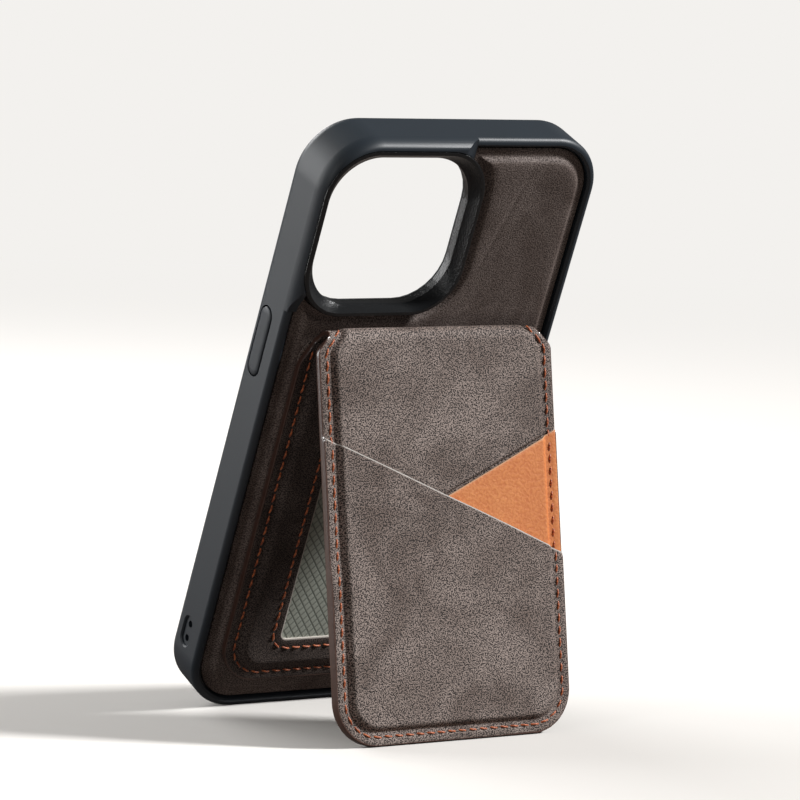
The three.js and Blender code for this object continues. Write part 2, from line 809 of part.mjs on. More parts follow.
const strutLiningTop = strutInner + strutLiningThickness;
const closureLow = strutBoardLow + layerGap / 2;
const closureTop = closureLow + strutBoardThickness - layerGap;
piece(caseGroup, 'fold_spine', foldSpine(strutGroup), taupeLeather);
piece(strutGroup, 'strut_lining', slab(strutOutline, strutInner, strutLiningTop), darkLining);
piece(strutGroup, 'strut_board', strutBoard(), greyboard);
piece(strutGroup, 'closure_magnet', bar(closureHeight - foldHeight, 0, closureLow, closureTop), magnetMetal);
piece(strutGroup, 'strut_facing', strutFacing(), taupeLeather);
piece(strutGroup, 'tan_pocket', common(sewnSheet(tanSeamLow, tanPadLow, tanLeather), belowMouth(-1)), tanHide);
piece(
  strutGroup,
  'dark_pocket',
  common(sewnSheet(darkSeamLow, darkPadLow, darkLeather), belowMouth(1)),
  taupeLeather,
);

const model = new THREE.Group();
model.add(caseGroup);
model.updateMatrixWorld(true);
const extent = new THREE.Box3().setFromObject(model, true);
caseGroup.position.y = -(extent.min.y + extent.max.y) / 2;
caseGroup.position.z = -extent.min.z;

export default model;
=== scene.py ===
import json
import math

import bpy
import numpy as np
from mathutils import Matrix, Vector
from mathutils.geometry import delaunay_2d_cdt
from mathutils.kdtree import KDTree


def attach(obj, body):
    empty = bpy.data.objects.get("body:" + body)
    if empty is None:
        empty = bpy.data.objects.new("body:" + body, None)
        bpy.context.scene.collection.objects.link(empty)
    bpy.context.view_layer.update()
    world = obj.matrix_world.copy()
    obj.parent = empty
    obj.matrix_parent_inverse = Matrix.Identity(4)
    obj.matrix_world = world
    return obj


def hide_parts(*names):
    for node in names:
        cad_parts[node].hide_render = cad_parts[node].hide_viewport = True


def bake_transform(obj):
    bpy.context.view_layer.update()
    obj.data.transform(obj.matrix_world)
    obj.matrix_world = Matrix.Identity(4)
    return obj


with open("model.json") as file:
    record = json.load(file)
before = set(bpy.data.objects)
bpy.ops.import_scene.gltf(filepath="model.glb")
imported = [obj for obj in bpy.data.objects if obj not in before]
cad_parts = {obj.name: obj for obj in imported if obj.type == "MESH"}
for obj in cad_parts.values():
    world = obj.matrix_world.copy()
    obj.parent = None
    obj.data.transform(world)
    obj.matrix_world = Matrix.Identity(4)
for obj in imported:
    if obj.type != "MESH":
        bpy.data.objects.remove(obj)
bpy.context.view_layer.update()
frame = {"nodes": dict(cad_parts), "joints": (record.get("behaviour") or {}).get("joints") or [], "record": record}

scene = bpy.context.scene

# Camera
# A long lens stands low on the left of the case. Its place, lens and small roll come from the
# case's outlines in the photograph, fitted with the case's real width and height.
MM = 0.001
CAMERA_PLACE = Vector((-525.2, -824.5, 171.9)) * MM
CAMERA_YAW = math.radians(32.72)
CAMERA_PITCH = math.radians(-5.61)
CAMERA_ROLL = math.radians(1.76)
CAMERA_LENS = 186.4
CAMERA_SENSOR = 36.0


def put(name, data):
    """An object for a mesh, a lamp or a camera, in the scene."""
    made = bpy.data.objects.new(name, data)
    scene.collection.objects.link(made)
    return made


camera_data = bpy.data.cameras.new("camera")
camera_data.lens = CAMERA_LENS
camera_data.sensor_width = CAMERA_SENSOR
camera_data.clip_start = 0.05
camera_data.clip_end = 20.0
camera = put("camera", camera_data)
camera.matrix_world = (
    Matrix.Translation(CAMERA_PLACE)
    @ Matrix.Rotation(-CAMERA_YAW, 4, "Z")
    @ Matrix.Rotation(math.pi / 2 + CAMERA_PITCH, 4, "X")
    @ Matrix.Rotation(CAMERA_ROLL, 4, "Z")
)
scene.camera = camera

# Studio: a pale floor that runs into a pale backdrop, a soft sun and three soft boxes
# The sun stands high on the right in front, a soft box behind on the left draws the sheen on the
# side wall, a strip on the left draws a line on the painted edges, and one above and behind lights
# the top corner.
FLOOR_SIZE = 12.0
FLOOR_COLOUR = "#e6e3df"
FLOOR_BOUNCE = "#6e6762"
BACKDROP_COLOUR = "#f3f1ee"
WORLD_LIGHT = 0.16
FLOOR_FADE_START = 0.25
FLOOR_FADE_END = 1.6


def linear(colour):
    """The linear RGBA of an sRGB hex colour."""
    channels = [int(colour[i:i + 2], 16) / 255 for i in (1, 3, 5)]
    bent = [c / 12.92 if c <= 0.04045 else ((c + 0.055) / 1.055) ** 2.4 for c in channels]
    return (*bent, 1.0)


def add(tree, kind, settings=None, links=None):
    """Adds a node; settings name its properties or inputs, and links give an input its source."""
    made = tree.nodes.new(kind)
    for key, value in (settings or {}).items():
        if isinstance(key, str) and hasattr(made, key):
            setattr(made, key, value)
        else:
            made.inputs[key].default_value = value
    for key, source in (links or {}).items():
        tree.links.new(source, made.inputs[key])
    return made


def new_material(name):
    """An empty node material and its tree."""
    material = bpy.data.materials.new(name)
    material.use_nodes = True
    material.node_tree.nodes.clear()
    return material, material.node_tree


def finish_material(tree, settings, links):
    """Ends a material in one Principled shader."""
    shader = add(tree, "ShaderNodeBsdfPrincipled", settings, links)
    add(tree, "ShaderNodeOutputMaterial", links={"Surface": shader.outputs["BSDF"]})


def floor_material():
    """Seamless studio paper: matt and pale, fading into the backdrop, and dimmer in its bounce."""
    material, tree = new_material("studio_paper")
    place = add(tree, "ShaderNodeTexCoord")
    ray = add(tree, "ShaderNodeLightPath")
    distance = add(tree, "ShaderNodeVectorMath", {"operation": "LENGTH"}, {
        0: place.outputs["Object"],
    })
    fade = add(tree, "ShaderNodeMapRange", {
        "From Min": FLOOR_FADE_START, "From Max": FLOOR_FADE_END,
        "interpolation_type": "SMOOTHSTEP",
    }, {"Value": distance.outputs["Value"]})
    shade = add(tree, "ShaderNodeMixRGB", {
        "Color1": linear(FLOOR_BOUNCE), "Color2": linear(FLOOR_COLOUR),
    }, {"Fac": ray.outputs["Is Camera Ray"]})
    paper = add(tree, "ShaderNodeBsdfDiffuse", links={"Color": shade.outputs["Color"]})
    glow = add(tree, "ShaderNodeEmission", {"Color": linear(BACKDROP_COLOUR)}, {
        "Strength": ray.outputs["Is Camera Ray"],
    })
    both = add(tree, "ShaderNodeMixShader", links={
        0: fade.outputs[0], 1: paper.outputs[0], 2: glow.outputs[0],
    })
    add(tree, "ShaderNodeOutputMaterial", links={"Surface": both.outputs[0]})
    return material


half_floor = FLOOR_SIZE / 2
floor_mesh = bpy.data.meshes.new("floor")
floor_mesh.from_pydata(
    [(x, y, 0) for x, y in ((-1, -1), (1, -1), (1, 1), (-1, 1))],
    [],
    [(0, 1, 2, 3)],
)
floor_mesh.transform(Matrix.Scale(half_floor, 4))
floor_mesh.materials.append(floor_material())
floor = put("floor", floor_mesh)

world = bpy.data.worlds.new("studio")
world.use_nodes = True
world.node_tree.nodes.clear()
rays = add(world.node_tree, "ShaderNodeLightPath")
lit = add(world.node_tree, "ShaderNodeMapRange", {"To Min": WORLD_LIGHT, "To Max": 1.0}, {
    "Value": rays.outputs["Is Camera Ray"],
})
backdrop = add(world.node_tree, "ShaderNodeBackground", {"Color": linear(BACKDROP_COLOUR)}, {
    "Strength": lit.outputs[0],
})
add(world.node_tree, "ShaderNodeOutputWorld", links={"Surface": backdrop.outputs[0]})
scene.world = world
scene.view_settings.view_transform = "Standard"

LAMP_AIM = Vector((0, 0, 0.07))
SUN_PLACE = Vector((0.84, -0.54, 0.80))
SUN_STRENGTH = 4.6
SUN_ANGLE = math.radians(9)
SOFT_BOXES = {
    "left_lamp": ((-0.75, 0.78, 0.42), 0.6, 0.8, 7.5),
    "top_lamp": ((-0.12, 0.92, 0.68), 0.6, 0.3, 6.0),
    "edge_lamp": ((-1.10, -0.34, 0.35), 0.14, 0.8, 1.5),
}


def hang(name, kind, place):
    """A lamp of a kind at a place, turned towards the object."""
    lamp = put(name, bpy.data.lights.new(name, kind))
    lamp.location = place
    lamp.rotation_euler = (LAMP_AIM - Vector(place)).to_track_quat("-Z", "Y").to_euler()
    return lamp.data


sun = hang("sun", "SUN", SUN_PLACE)
sun.energy = SUN_STRENGTH
sun.angle = SUN_ANGLE
for lamp_name, (lamp_place, lamp_width, lamp_height, lamp_power) in SOFT_BOXES.items():
    box_lamp = hang(lamp_name, "AREA", lamp_place)
    box_lamp.shape = "RECTANGLE"
    box_lamp.size = lamp_width
    box_lamp.size_y = lamp_height
    box_lamp.energy = lamp_power

# Stance of the case and of the strut
# Case frame, in millimetres: x across, y up the case, z out of the leather side, with z = 0 on
# the rear rim. Strut frame: from the fold axis, y up the strut and z out of its front.
FOLD_HEIGHT = 105.0
FOLD_STAND_OFF = 4.3
STRUT_OPENING = math.radians(31.54)

seat = frame["record"]["mounts"][0]
fold_joint = next(joint for joint in frame["joints"] if joint["name"] == "stand_fold")
case_tilt = math.atan2(seat["axis"][2], seat["axis"][1])
case_turn = Matrix.Rotation(math.pi / 2 + case_tilt, 4, "X")
fold_axis = Vector(fold_joint["pos_m"])
case_origin = fold_axis - case_turn @ (Vector((0, FOLD_HEIGHT, FOLD_STAND_OFF)) * MM)
CASE = Matrix.Translation(case_origin) @ case_turn @ Matrix.Scale(MM, 4)
STRUT = (
    Matrix.Translation(fold_axis)
    @ case_turn
    @ Matrix.Rotation(-STRUT_OPENING, 4, "X")
    @ Matrix.Scale(MM, 4)
)


def placed(matrix, points):
    """Points in millimetres of a frame, as an array in metres of the row frame."""
    turn = np.array(matrix)
    return np.asarray(points, float) @ turn[:3, :3].T + turn[:3, 3]


def on_case(x, y, z):
    return placed(CASE, np.stack(np.broadcast_arrays(x, y, z), -1))


def shape(name, points, faces):
    """A mesh from its points and faces."""
    mesh = bpy.data.meshes.new(name)
    mesh.from_pydata([tuple(p) for p in points], [], [tuple(int(i) for i in f) for f in faces])
    return mesh


def new_piece(name, points, faces, materials, slots=None, sharp=math.radians(35)):
    """A mesh object in the row frame with its finishes, smooth but for its sharp edges."""
    mesh = shape(name, points, faces)
    for material in materials:
        mesh.materials.append(material)
    if slots is not None:
        mesh.polygons.foreach_set("material_index", np.asarray(slots, np.int32))
    mesh.update()
    mesh.shade_smooth()
    mesh.set_sharp_from_angle(angle=sharp)
    return put(name, mesh)


# Bumper: the soft moulded frame round the case
# One moulding of slate-grey elastomer: front lip, gripping groove, rear rim with its raised part
# beside the camera guard, button holes, port openings and a recess with two strap holes.
CASE_WIDTH = 76.1
CASE_HEIGHT = 152.1
CASE_CORNER = 13.5
SIDE_WALL = 2.3
LIP_OVERHANG = 1.1
LIP_CHAMFER = 0.3
FRONT_ROUNDING = 3.2
REAR_ROUNDING = 1.5
RAISED_ROUNDING = 2.0
RAISED_FALL = 4.0
RIM_FOOT = 2.4
RIM_SLOPE_DEPTH = 1.3
RIM_CROWN_FALL = 0.5
RIM_CROWN_WIDTH = 0.6
GROOVE = 1.2
FRONT_LEVEL = -13.1
LIP_LEVEL = -12.0
LINING_TOP = -3.6
BED_LEVEL = -2.1
SHELL_TOP = -2.2
GUARD_LEFT = -37.0
GUARD_RIGHT = 5.8
GUARD_BOTTOM = 107.6
GUARD_TOP = 149.9
GUARD_CORNER = 12.0
GUARD_RISE = 2.3
TOP_COVE_FROM_GUARD = 8.3
TOP_COVE_LENGTH = 4.3
SIDE_COVE_FROM_GUARD = 6.9
SIDE_COVE_LENGTH = 6.5
SIDE_COVE_SHOULDER = 1.0
LEATHER_EDGE = 2.7
REACH = 5.0
CORNER_STEPS = 20
ROUNDING_STEPS = 8


def frame_box(left, right, bottom, top, foot, head=None):
    """A rectangle with rounded corners: its four sides and its two corner radii."""
    return (left, right, bottom, top, foot, foot if head is None else head)


def grown(box, by):
    left, right, bottom, top, foot, head = box
    smallest = 0.3
    return (
        left - by,
        right + by,
        bottom - by,
        top + by,
        max(foot + by, smallest),
        max(head + by, smallest),
    )


def outline(box, steps=CORNER_STEPS, spacing=None):
    """Points round such a rectangle, anticlockwise, with the straight sides divided on demand."""
    left, right, bottom, top, foot, head = box
    corners = (
        (right - foot, bottom + foot, foot, -math.pi / 2),
        (right - head, top - head, head, 0.0),
        (left + head, top - head, head, math.pi / 2),
        (left + foot, bottom + foot, foot, math.pi),
    )
    turn = np.linspace(0, math.pi / 2, steps + 1)
    arcs = [
        np.stack([x + r * np.cos(start + turn), y + r * np.sin(start + turn)], 1)
        for x, y, r, start in corners
    ]
    if spacing is None:
        return np.concatenate(arcs)
    return divided(np.concatenate(arcs), spacing)


def divided(loop, spacing):
    """A closed loop with its long edges cut to about the spacing."""
    points = []
    for start, end in zip(loop, np.roll(loop, -1, 0)):
        count = max(1, round(float(np.linalg.norm(end - start)) / spacing))
        share = np.arange(count)[:, None] / count
        points.append(start + (end - start) * share)
    return np.concatenate(points)


def loft(rings, hollow=False):
    """Points and faces of a closed body through rings of (outline, level)."""
    count = len(rings[0][0])
    points = np.concatenate([np.c_[ring, np.full(count, level)] for ring, level in rings])
    faces = []
    bands = len(rings) if hollow else len(rings) - 1
    for band in range(bands):
        low = band * count
        high = (band + 1) % len(rings) * count
        faces += [
            (low + i, low + (i + 1) % count, high + (i + 1) % count, high + i)
            for i in range(count)
        ]
    if not hollow:
        last = (len(rings) - 1) * count
        faces += [tuple(range(count))[::-1], tuple(range(last, last + count))]
    return points, faces


def solid(name, points, faces, matrix=Matrix.Identity(4)):
    """A scratch body for a boolean, in the case frame, with its faces turned outwards."""
    mesh = shape(name, points, faces)
    mesh.transform(matrix)
    mesh.update()
    volume = 0.0
    mesh.calc_loop_triangles()
    for triangle in mesh.loop_triangles:
        a, b, c = (mesh.vertices[i].co for i in triangle.vertices)
        volume += a.dot(b.cross(c))
    if volume < 0:
        mesh.flip_normals()
    return put(name, mesh)


def settled(body):
    """The body with its modifiers made part of its mesh."""
    depsgraph = bpy.context.evaluated_depsgraph_get()
    mesh = bpy.data.meshes.new_from_object(body.evaluated_get(depsgraph))
    body.modifiers.clear()
    body.data = mesh
    return body


def carved(base, steps):
    """The body after boolean steps (operation, cutter); the cutters are removed."""
    for operation, cutter in steps:
        boolean = base.modifiers.new("carve", "BOOLEAN")
        boolean.operation = operation
        boolean.solver = "EXACT"
        boolean.object = cutter
    settled(base)
    for _, cutter in steps:
        bpy.data.objects.remove(cutter)
    return base


def prism(name, loop, low, high, matrix=Matrix.Identity(4)):
    loop = np.asarray(loop, float)
    return solid(name, *loft([(loop, low), (loop, high)]), matrix)


def stadium(length, width):
    """A long hole or button with round ends, lying along x."""
    return frame_box(-length / 2, length / 2, -width / 2, width / 2, 0.499 * width)


def wall_matrix(along, outward, place):
    """A frame on a side wall: x along the wall, z outwards, its origin on the outer face."""
    along, outward = Vector(along), Vector(outward)
    turn = Matrix((along, outward.cross(along), outward)).transposed().to_4x4()
    return Matrix.Translation(Vector(place)) @ turn


def on_left(height, depth):
    return wall_matrix((0, 1, 0), (-1, 0, 0), (-CASE_WIDTH / 2, height, -depth))


def on_right(height, depth):
    return wall_matrix((0, 1, 0), (1, 0, 0), (CASE_WIDTH / 2, height, -depth))


def on_bottom(x, depth):
    return wall_matrix((1, 0, 0), (0, -1, 0), (x, 0, -depth))


case_plan = frame_box(-CASE_WIDTH / 2, CASE_WIDTH / 2, 0, CASE_HEIGHT, CASE_CORNER)
guard_plan = frame_box(GUARD_LEFT, GUARD_RIGHT, GUARD_BOTTOM, GUARD_TOP, GUARD_CORNER)


def quarter(steps=ROUNDING_STEPS):
    return np.linspace(0, math.pi / 2, steps + 1)


def rounding(plan, inwards, top, fall, count=ROUNDING_STEPS, steps=CORNER_STEPS):
    """Rings of a rounded edge, which draws in by a distance as it climbs the fall to the top."""
    return [
        (outline(grown(plan, -inwards * (1 - math.cos(a))), steps), top - fall * (1 - math.sin(a)))
        for a in quarter(count)
    ]


def bumper_ring():
    """The closed section of the moulding, carried round the case."""
    profile = [(REAR_ROUNDING * (1 - math.sin(a)), -REAR_ROUNDING * (1 - math.cos(a))) for a in quarter()]
    profile += [
        (FRONT_ROUNDING * (1 - math.cos(a)), FRONT_LEVEL + FRONT_ROUNDING * (1 - math.sin(a)))
        for a in quarter()
    ]
    lip_edge = SIDE_WALL + LIP_OVERHANG
    profile += [(lip_edge, FRONT_LEVEL + LIP_CHAMFER), (lip_edge, LIP_LEVEL), (SIDE_WALL, LIP_LEVEL)]
    profile += [(SIDE_WALL, LINING_TOP), (GROOVE, LINING_TOP), (GROOVE, BED_LEVEL)]
    profile += [(RIM_FOOT, BED_LEVEL), (RIM_FOOT, -RIM_SLOPE_DEPTH)]
    profile += [(REAR_ROUNDING + RIM_CROWN_WIDTH, -RIM_CROWN_FALL)]
    return loft([(outline(grown(case_plan, -inwards)), level) for inwards, level in profile], True)


def island_plan(margin):
    """Plan of the raised rim beside the guard; the margin widens it for the cut in the leather."""
    left, _, _, top, _, _ = case_plan
    rim_line = left + LEATHER_EDGE
    side_end = GUARD_BOTTOM + SIDE_COVE_FROM_GUARD - SIDE_COVE_LENGTH
    shoulder = side_end + SIDE_COVE_LENGTH - SIDE_COVE_SHOULDER
    top_end = GUARD_RIGHT - TOP_COVE_FROM_GUARD + TOP_COVE_LENGTH
    return np.array([
        (left - REACH, side_end - margin),
        (rim_line + margin, side_end - margin),
        (rim_line + margin, shoulder - margin),
        (GUARD_LEFT + GUARD_CORNER / 2, GUARD_BOTTOM + GUARD_CORNER),
        (GUARD_RIGHT - GUARD_CORNER, GUARD_TOP - GUARD_CORNER / 2),
        (top_end + margin, GUARD_TOP - GUARD_CORNER / 4),
        (top_end + margin, top + REACH),
        (left - REACH, top + REACH),
    ])


def cove(length, depth, matrix):
    """The cutter for a cove that sweeps down from the raised rim to the rim along x."""
    share = np.linspace(0, 1, 3 * ROUNDING_STEPS + 1)
    fall = np.c_[length * share, GUARD_RISE * (1 + np.cos(math.pi * share)) / 2]
    sides = [(length + REACH, 0), (length + REACH, GUARD_RISE + REACH), (0, GUARD_RISE + REACH)]
    return prism("cove", np.concatenate([fall, sides]), 0, depth, matrix)


def raised_rim():
    rings = [(outline(case_plan), BED_LEVEL)]
    rings += rounding(case_plan, RAISED_ROUNDING, GUARD_RISE, RAISED_FALL)
    top_place = (GUARD_RIGHT - TOP_COVE_FROM_GUARD, CASE_HEIGHT + REACH, 0)
    top_turn = Matrix(((1, 0, 0), (0, 0, 1), (0, -1, 0))).transposed().to_4x4()
    side_place = (GUARD_LEFT + GUARD_CORNER, GUARD_BOTTOM + SIDE_COVE_FROM_GUARD, 0)
    side_turn = Matrix(((0, -1, 0), (0, 0, 1), (-1, 0, 0))).transposed().to_4x4()
    depth = GUARD_CORNER + REACH
    return carved(solid("raised_rim", *loft(rings)), [
        ("INTERSECT", prism("island", island_plan(0), BED_LEVEL, GUARD_RISE + REACH)),
        ("DIFFERENCE", cove(TOP_COVE_LENGTH, depth, Matrix.Translation(top_place) @ top_turn)),
        ("DIFFERENCE", cove(SIDE_COVE_LENGTH, depth, Matrix.Translation(side_place) @ side_turn)),
    ])


def slate_elastomer():
    """Moulded TPU elastomer: slate grey, satin from a fine spark-eroded mould."""
    texture = 0.25
    material, tree = new_material("moulded_slate_elastomer")
    place = add(tree, "ShaderNodeTexCoord")
    fine = add(tree, "ShaderNodeTexNoise", {"Scale": 1 / (texture * MM), "Detail": 2.0}, {
        "Vector": place.outputs["Object"],
    })
    broad = add(tree, "ShaderNodeTexNoise", {"Scale": 1 / (25 * MM), "Detail": 2.0}, {
        "Vector": place.outputs["Object"],
    })
    shade = add(tree, "ShaderNodeMixRGB", {
        "Color1": linear("#1e262d"),
        "Color2": linear("#252e37"),
    }, {"Fac": broad.outputs["Fac"]})
    rough = add(tree, "ShaderNodeMapRange", {"To Min": 0.40, "To Max": 0.52}, {
        "Value": fine.outputs["Fac"],
    })
    bump = add(tree, "ShaderNodeBump", {"Strength": 0.25, "Distance": 0.02 * MM}, {
        "Height": fine.outputs["Fac"],
    })
    finish_material(tree, {"IOR": 1.5}, {
        "Base Color": shade.outputs["Color"],
        "Roughness": rough.outputs[0],
        "Normal": bump.outputs["Normal"],
    })
    return material


PORT_LEVEL = 8.0
BUTTON_LEVEL = 7.5
BUTTON_WIDTH = 4.6
BUTTON_CLEARANCE = 0.4
BUTTONS = {
    "power": (17.3, on_left(96.5, BUTTON_LEVEL), "power_key"),
    "volume_up": (11.0, on_right(105.5, BUTTON_LEVEL), "volume_up_key"),
    "volume_down": (11.0, on_right(92.9, BUTTON_LEVEL), "volume_down_key"),
}
WALL_OPENINGS = (
    (13.0, 6.0, on_right(118.3, PORT_LEVEL)),
    (14.0, 6.4, on_bottom(0, PORT_LEVEL)),
    (10.0, 2.6, on_bottom(-18.0, PORT_LEVEL)),
    (10.0, 2.6, on_bottom(18.0, PORT_LEVEL)),
)
STRAP_PLACE = on_left(18.2, 6.8)
STRAP_LENGTH = 7.6
STRAP_WIDTH = 3.8
STRAP_RECESS = 0.6
STRAP_FLARE = 0.35
STRAP_HOLE = 0.85
STRAP_SPACING = 3.8
SMALL_STEPS = 10


def slab(name, box, low, high, matrix=Matrix.Identity(4), steps=SMALL_STEPS):
    return prism(name, outline(box, steps), low, high, matrix)


def flared_hole(length, width, matrix):
    """A hole through the wall with a rounded outer edge."""
    radius = 0.5
    plan = stadium(length, width)
    rings = [(outline(plan, SMALL_STEPS), -SIDE_WALL - LIP_OVERHANG)]
    rings += rounding(plan, -radius, 0, radius, 4, SMALL_STEPS)
    rings.append((outline(grown(plan, radius), SMALL_STEPS), REACH))
    return solid("opening", *loft(rings), matrix)


def strap_cutters():
    plan = stadium(STRAP_LENGTH, STRAP_WIDTH)
    recess = solid("strap_recess", *loft([
        (outline(grown(plan, -0.1), SMALL_STEPS), -STRAP_RECESS),
        (outline(plan, SMALL_STEPS), -0.5 * STRAP_RECESS),
        (outline(grown(plan, STRAP_FLARE), SMALL_STEPS), 0),
        (outline(grown(plan, STRAP_FLARE), SMALL_STEPS), REACH),
    ]), STRAP_PLACE)
    hole = frame_box(-STRAP_HOLE, STRAP_HOLE, -STRAP_HOLE, STRAP_HOLE, 0.999 * STRAP_HOLE)
    holes = [
        slab("strap_hole", hole, -SIDE_WALL - 1, 0.1, STRAP_PLACE @ Matrix.Translation((side, 0, 0)))
        for side in (-STRAP_SPACING / 2, STRAP_SPACING / 2)
    ]
    return [recess, *holes]


def hard_piece(body, name, materials):
    """Turns a carved body in the case frame into a finished piece in the row frame."""
    body.name = name
    body.data.transform(CASE)
    body.data.materials.clear()
    for material in materials:
        body.data.materials.append(material)
    body.data.shade_smooth()
    body.data.set_sharp_from_angle(angle=math.radians(28))
    weighted = body.modifiers.new("weighted_normals", "WEIGHTED_NORMAL")
    weighted.keep_sharp = True
    return settled(body)


slate = slate_elastomer()
guard_seat = slab("guard_seat", grown(guard_plan, 0.1), SHELL_TOP, GUARD_RISE + REACH, steps=CORNER_STEPS)
carving = [("UNION", raised_rim()), ("DIFFERENCE", guard_seat)]
for button_length, button_place, _ in BUTTONS.values():
    groove = stadium(button_length + 2 * BUTTON_CLEARANCE, BUTTON_WIDTH + 2 * BUTTON_CLEARANCE)
    carving.append(("DIFFERENCE", slab("button_hole", groove, -SIDE_WALL - REACH, REACH, button_place)))
carving += [("DIFFERENCE", flared_hole(*opening)) for opening in WALL_OPENINGS]
carving += [("DIFFERENCE", cutter) for cutter in strap_cutters()]
bumper = hard_piece(carved(solid("bumper", *bumper_ring()), carving), "slate_bumper", [slate])
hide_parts("bumper_frame")
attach(bumper, "case")

# Buttons
# Each is a cap of the same elastomer that stands in its hole in the side wall, with a crowned
# face and a flange behind the wall that keeps it in.
BUTTON_PROUD = 0.3
BUTTON_CROWN = 0.35
FLANGE_LEVEL = -1.25
FLANGE_THICKNESS = 0.6
FLANGE_MARGIN = 0.8

for button_name, (button_length, button_place, button_body) in BUTTONS.items():
    cap = stadium(button_length, BUTTON_WIDTH)
    flange = outline(grown(cap, FLANGE_MARGIN), SMALL_STEPS)
    button_rings = [(flange, FLANGE_LEVEL - FLANGE_THICKNESS), (flange, FLANGE_LEVEL)]
    button_rings.append((outline(cap, SMALL_STEPS), FLANGE_LEVEL))
    button_rings += rounding(cap, 4 * BUTTON_CROWN, BUTTON_PROUD, BUTTON_CROWN, 6, SMALL_STEPS)
    button = solid("button", *loft(button_rings), button_place)
    button = hard_piece(button, f"{button_name}_cap", [slate])
    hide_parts(f"{button_name}_button")
    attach(button, button_body)

# Camera guard
# A ring of black ABS, moulded, that stands proud of the leather round the camera opening. Its flat
# rim falls to the opening in a wide bevel with a fine sparkling texture.
GUARD_ROUNDING = 0.4
GUARD_RIM = 1.0
OPENING_LEVEL = -1.0
OPENING_CORNER = 11.5
BEVEL_LEFT = 3.4
BEVEL_RIGHT = 2.1
BEVEL_TOP = 3.1
BEVEL_BOTTOM = 1.8

opening_plan = frame_box(
    GUARD_LEFT + BEVEL_LEFT,
    GUARD_RIGHT - BEVEL_RIGHT,
    GUARD_BOTTOM + BEVEL_BOTTOM,
    GUARD_TOP - BEVEL_TOP,
    OPENING_CORNER,
)


def mottled(name, size, detail, dark, light, settings, relief=None):
    """A finish mottled in patches of a size in millimetres; relief is its strength and height."""
    material, tree = new_material(name)
    place = add(tree, "ShaderNodeTexCoord")
    patches = add(tree, "ShaderNodeTexNoise", {"Scale": 1 / (size * MM), "Detail": detail}, {
        "Vector": place.outputs["Object"],
    })
    shade = add(tree, "ShaderNodeMixRGB", {"Color1": linear(dark), "Color2": linear(light)}, {
        "Fac": patches.outputs["Fac"],
    })
    links = {"Base Color": shade.outputs["Color"]}
    if relief is not None:
        strength, height = relief
        bump = add(tree, "ShaderNodeBump", {"Strength": strength, "Distance": height * MM}, {
            "Height": patches.outputs["Fac"],
        })
        links["Normal"] = bump.outputs["Normal"]
    finish_material(tree, settings, links)
    return material


# Moulded ABS: black, satin, with a fine texture that sparkles where the light grazes it.
black = mottled(
    "moulded_black_abs", 0.4, 3.0, "#08090a", "#16181b", {"Roughness": 0.26, "IOR": 1.5}, (1.0, 0.1),
)
guard_steps = 32
guard_rings = [(outline(guard_plan, guard_steps), BED_LEVEL)]
guard_rings += rounding(guard_plan, GUARD_ROUNDING, GUARD_RISE, GUARD_ROUNDING, 5, guard_steps)
rim_loop = outline(grown(guard_plan, -GUARD_RIM), guard_steps)
opening_loop = outline(opening_plan, guard_steps)
bevel_fall = GUARD_RISE - OPENING_LEVEL
guard_rings.append((rim_loop, GUARD_RISE))
for share in np.linspace(0.04, 1, 8):
    sag = 0.25 * math.sin(math.pi * share)
    guard_rings.append((rim_loop + (opening_loop - rim_loop) * share, GUARD_RISE - bevel_fall * share - sag))
guard_rings.append((opening_loop, BED_LEVEL))
guard = hard_piece(solid("guard", *loft(guard_rings, True)), "camera_guard_ring", [black])
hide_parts("camera_guard")
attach(guard, "case")
frame["nodes"]["back_shell"].data.materials.clear()
frame["nodes"]["back_shell"].data.materials.append(black)

# Leather back of the case
# A panel of taupe leather-grain sheet over thin foam, pressed with a narrow hem round its edge and
# round the camera guard, and bonded into the bed of the case. It shows a few soft creases.
LEATHER_STEP = 0.6
LEATHER_HEM = -0.75
LEATHER_EDGE_DROP = 1.1
LEATHER_RISE = 0.3
LEATHER_CROWN = 0.3
HEM_WIDTH = 2.0
PAD_SLOPE = 1.3
MOAT = 1.8
EDGE_GAP = 0.3
BACK_CREASES = (
    ((10.5, 117.0), (19.0, 146.0), 0.45, -0.16),
    ((12.0, 113.0), (24.5, 139.0), 0.9, 0.08),
    ((4.0, 104.8), (14.0, 112.0), 0.6, -0.14),
    ((7.0, 103.6), (20.0, 111.5), 0.8, -0.10),
)
WALLET_HEAD = (101, 108)


def inside(points, loops):
    """Which points lie inside the loops, by counting the crossings to their right."""
    hit = np.zeros(len(points), bool)
    for loop in loops:
        for (ax, ay), (bx, by) in zip(loop, np.roll(loop, -1, 0)):
            if ay == by:
                continue
            crosses = (ay > points[:, 1]) != (by > points[:, 1])
            hit ^= crosses & (points[:, 0] < (bx - ax) * (points[:, 1] - ay) / (by - ay) + ax)
    return hit


def depth_in(points, box):
    """How far points lie inside a rounded rectangle, in millimetres; negative outside."""
    left, right, bottom, top, foot, head = box
    x, y = points[:, 0], points[:, 1]
    radius = np.where(y > (bottom + top) / 2, head, foot)
    across = np.abs(x - (left + right) / 2) - (right - left) / 2 + radius
    along = np.abs(y - (bottom + top) / 2) - (top - bottom) / 2 + radius
    outer = np.hypot(np.maximum(across, 0), np.maximum(along, 0))
    return radius - outer - np.minimum(np.maximum(across, along), 0)


def eased(value, start, end):
    """0 before start, 1 after end, and a smooth rise between them."""
    share = np.clip((value - start) / (end - start), 0, 1)
    return share * share * (3 - 2 * share)


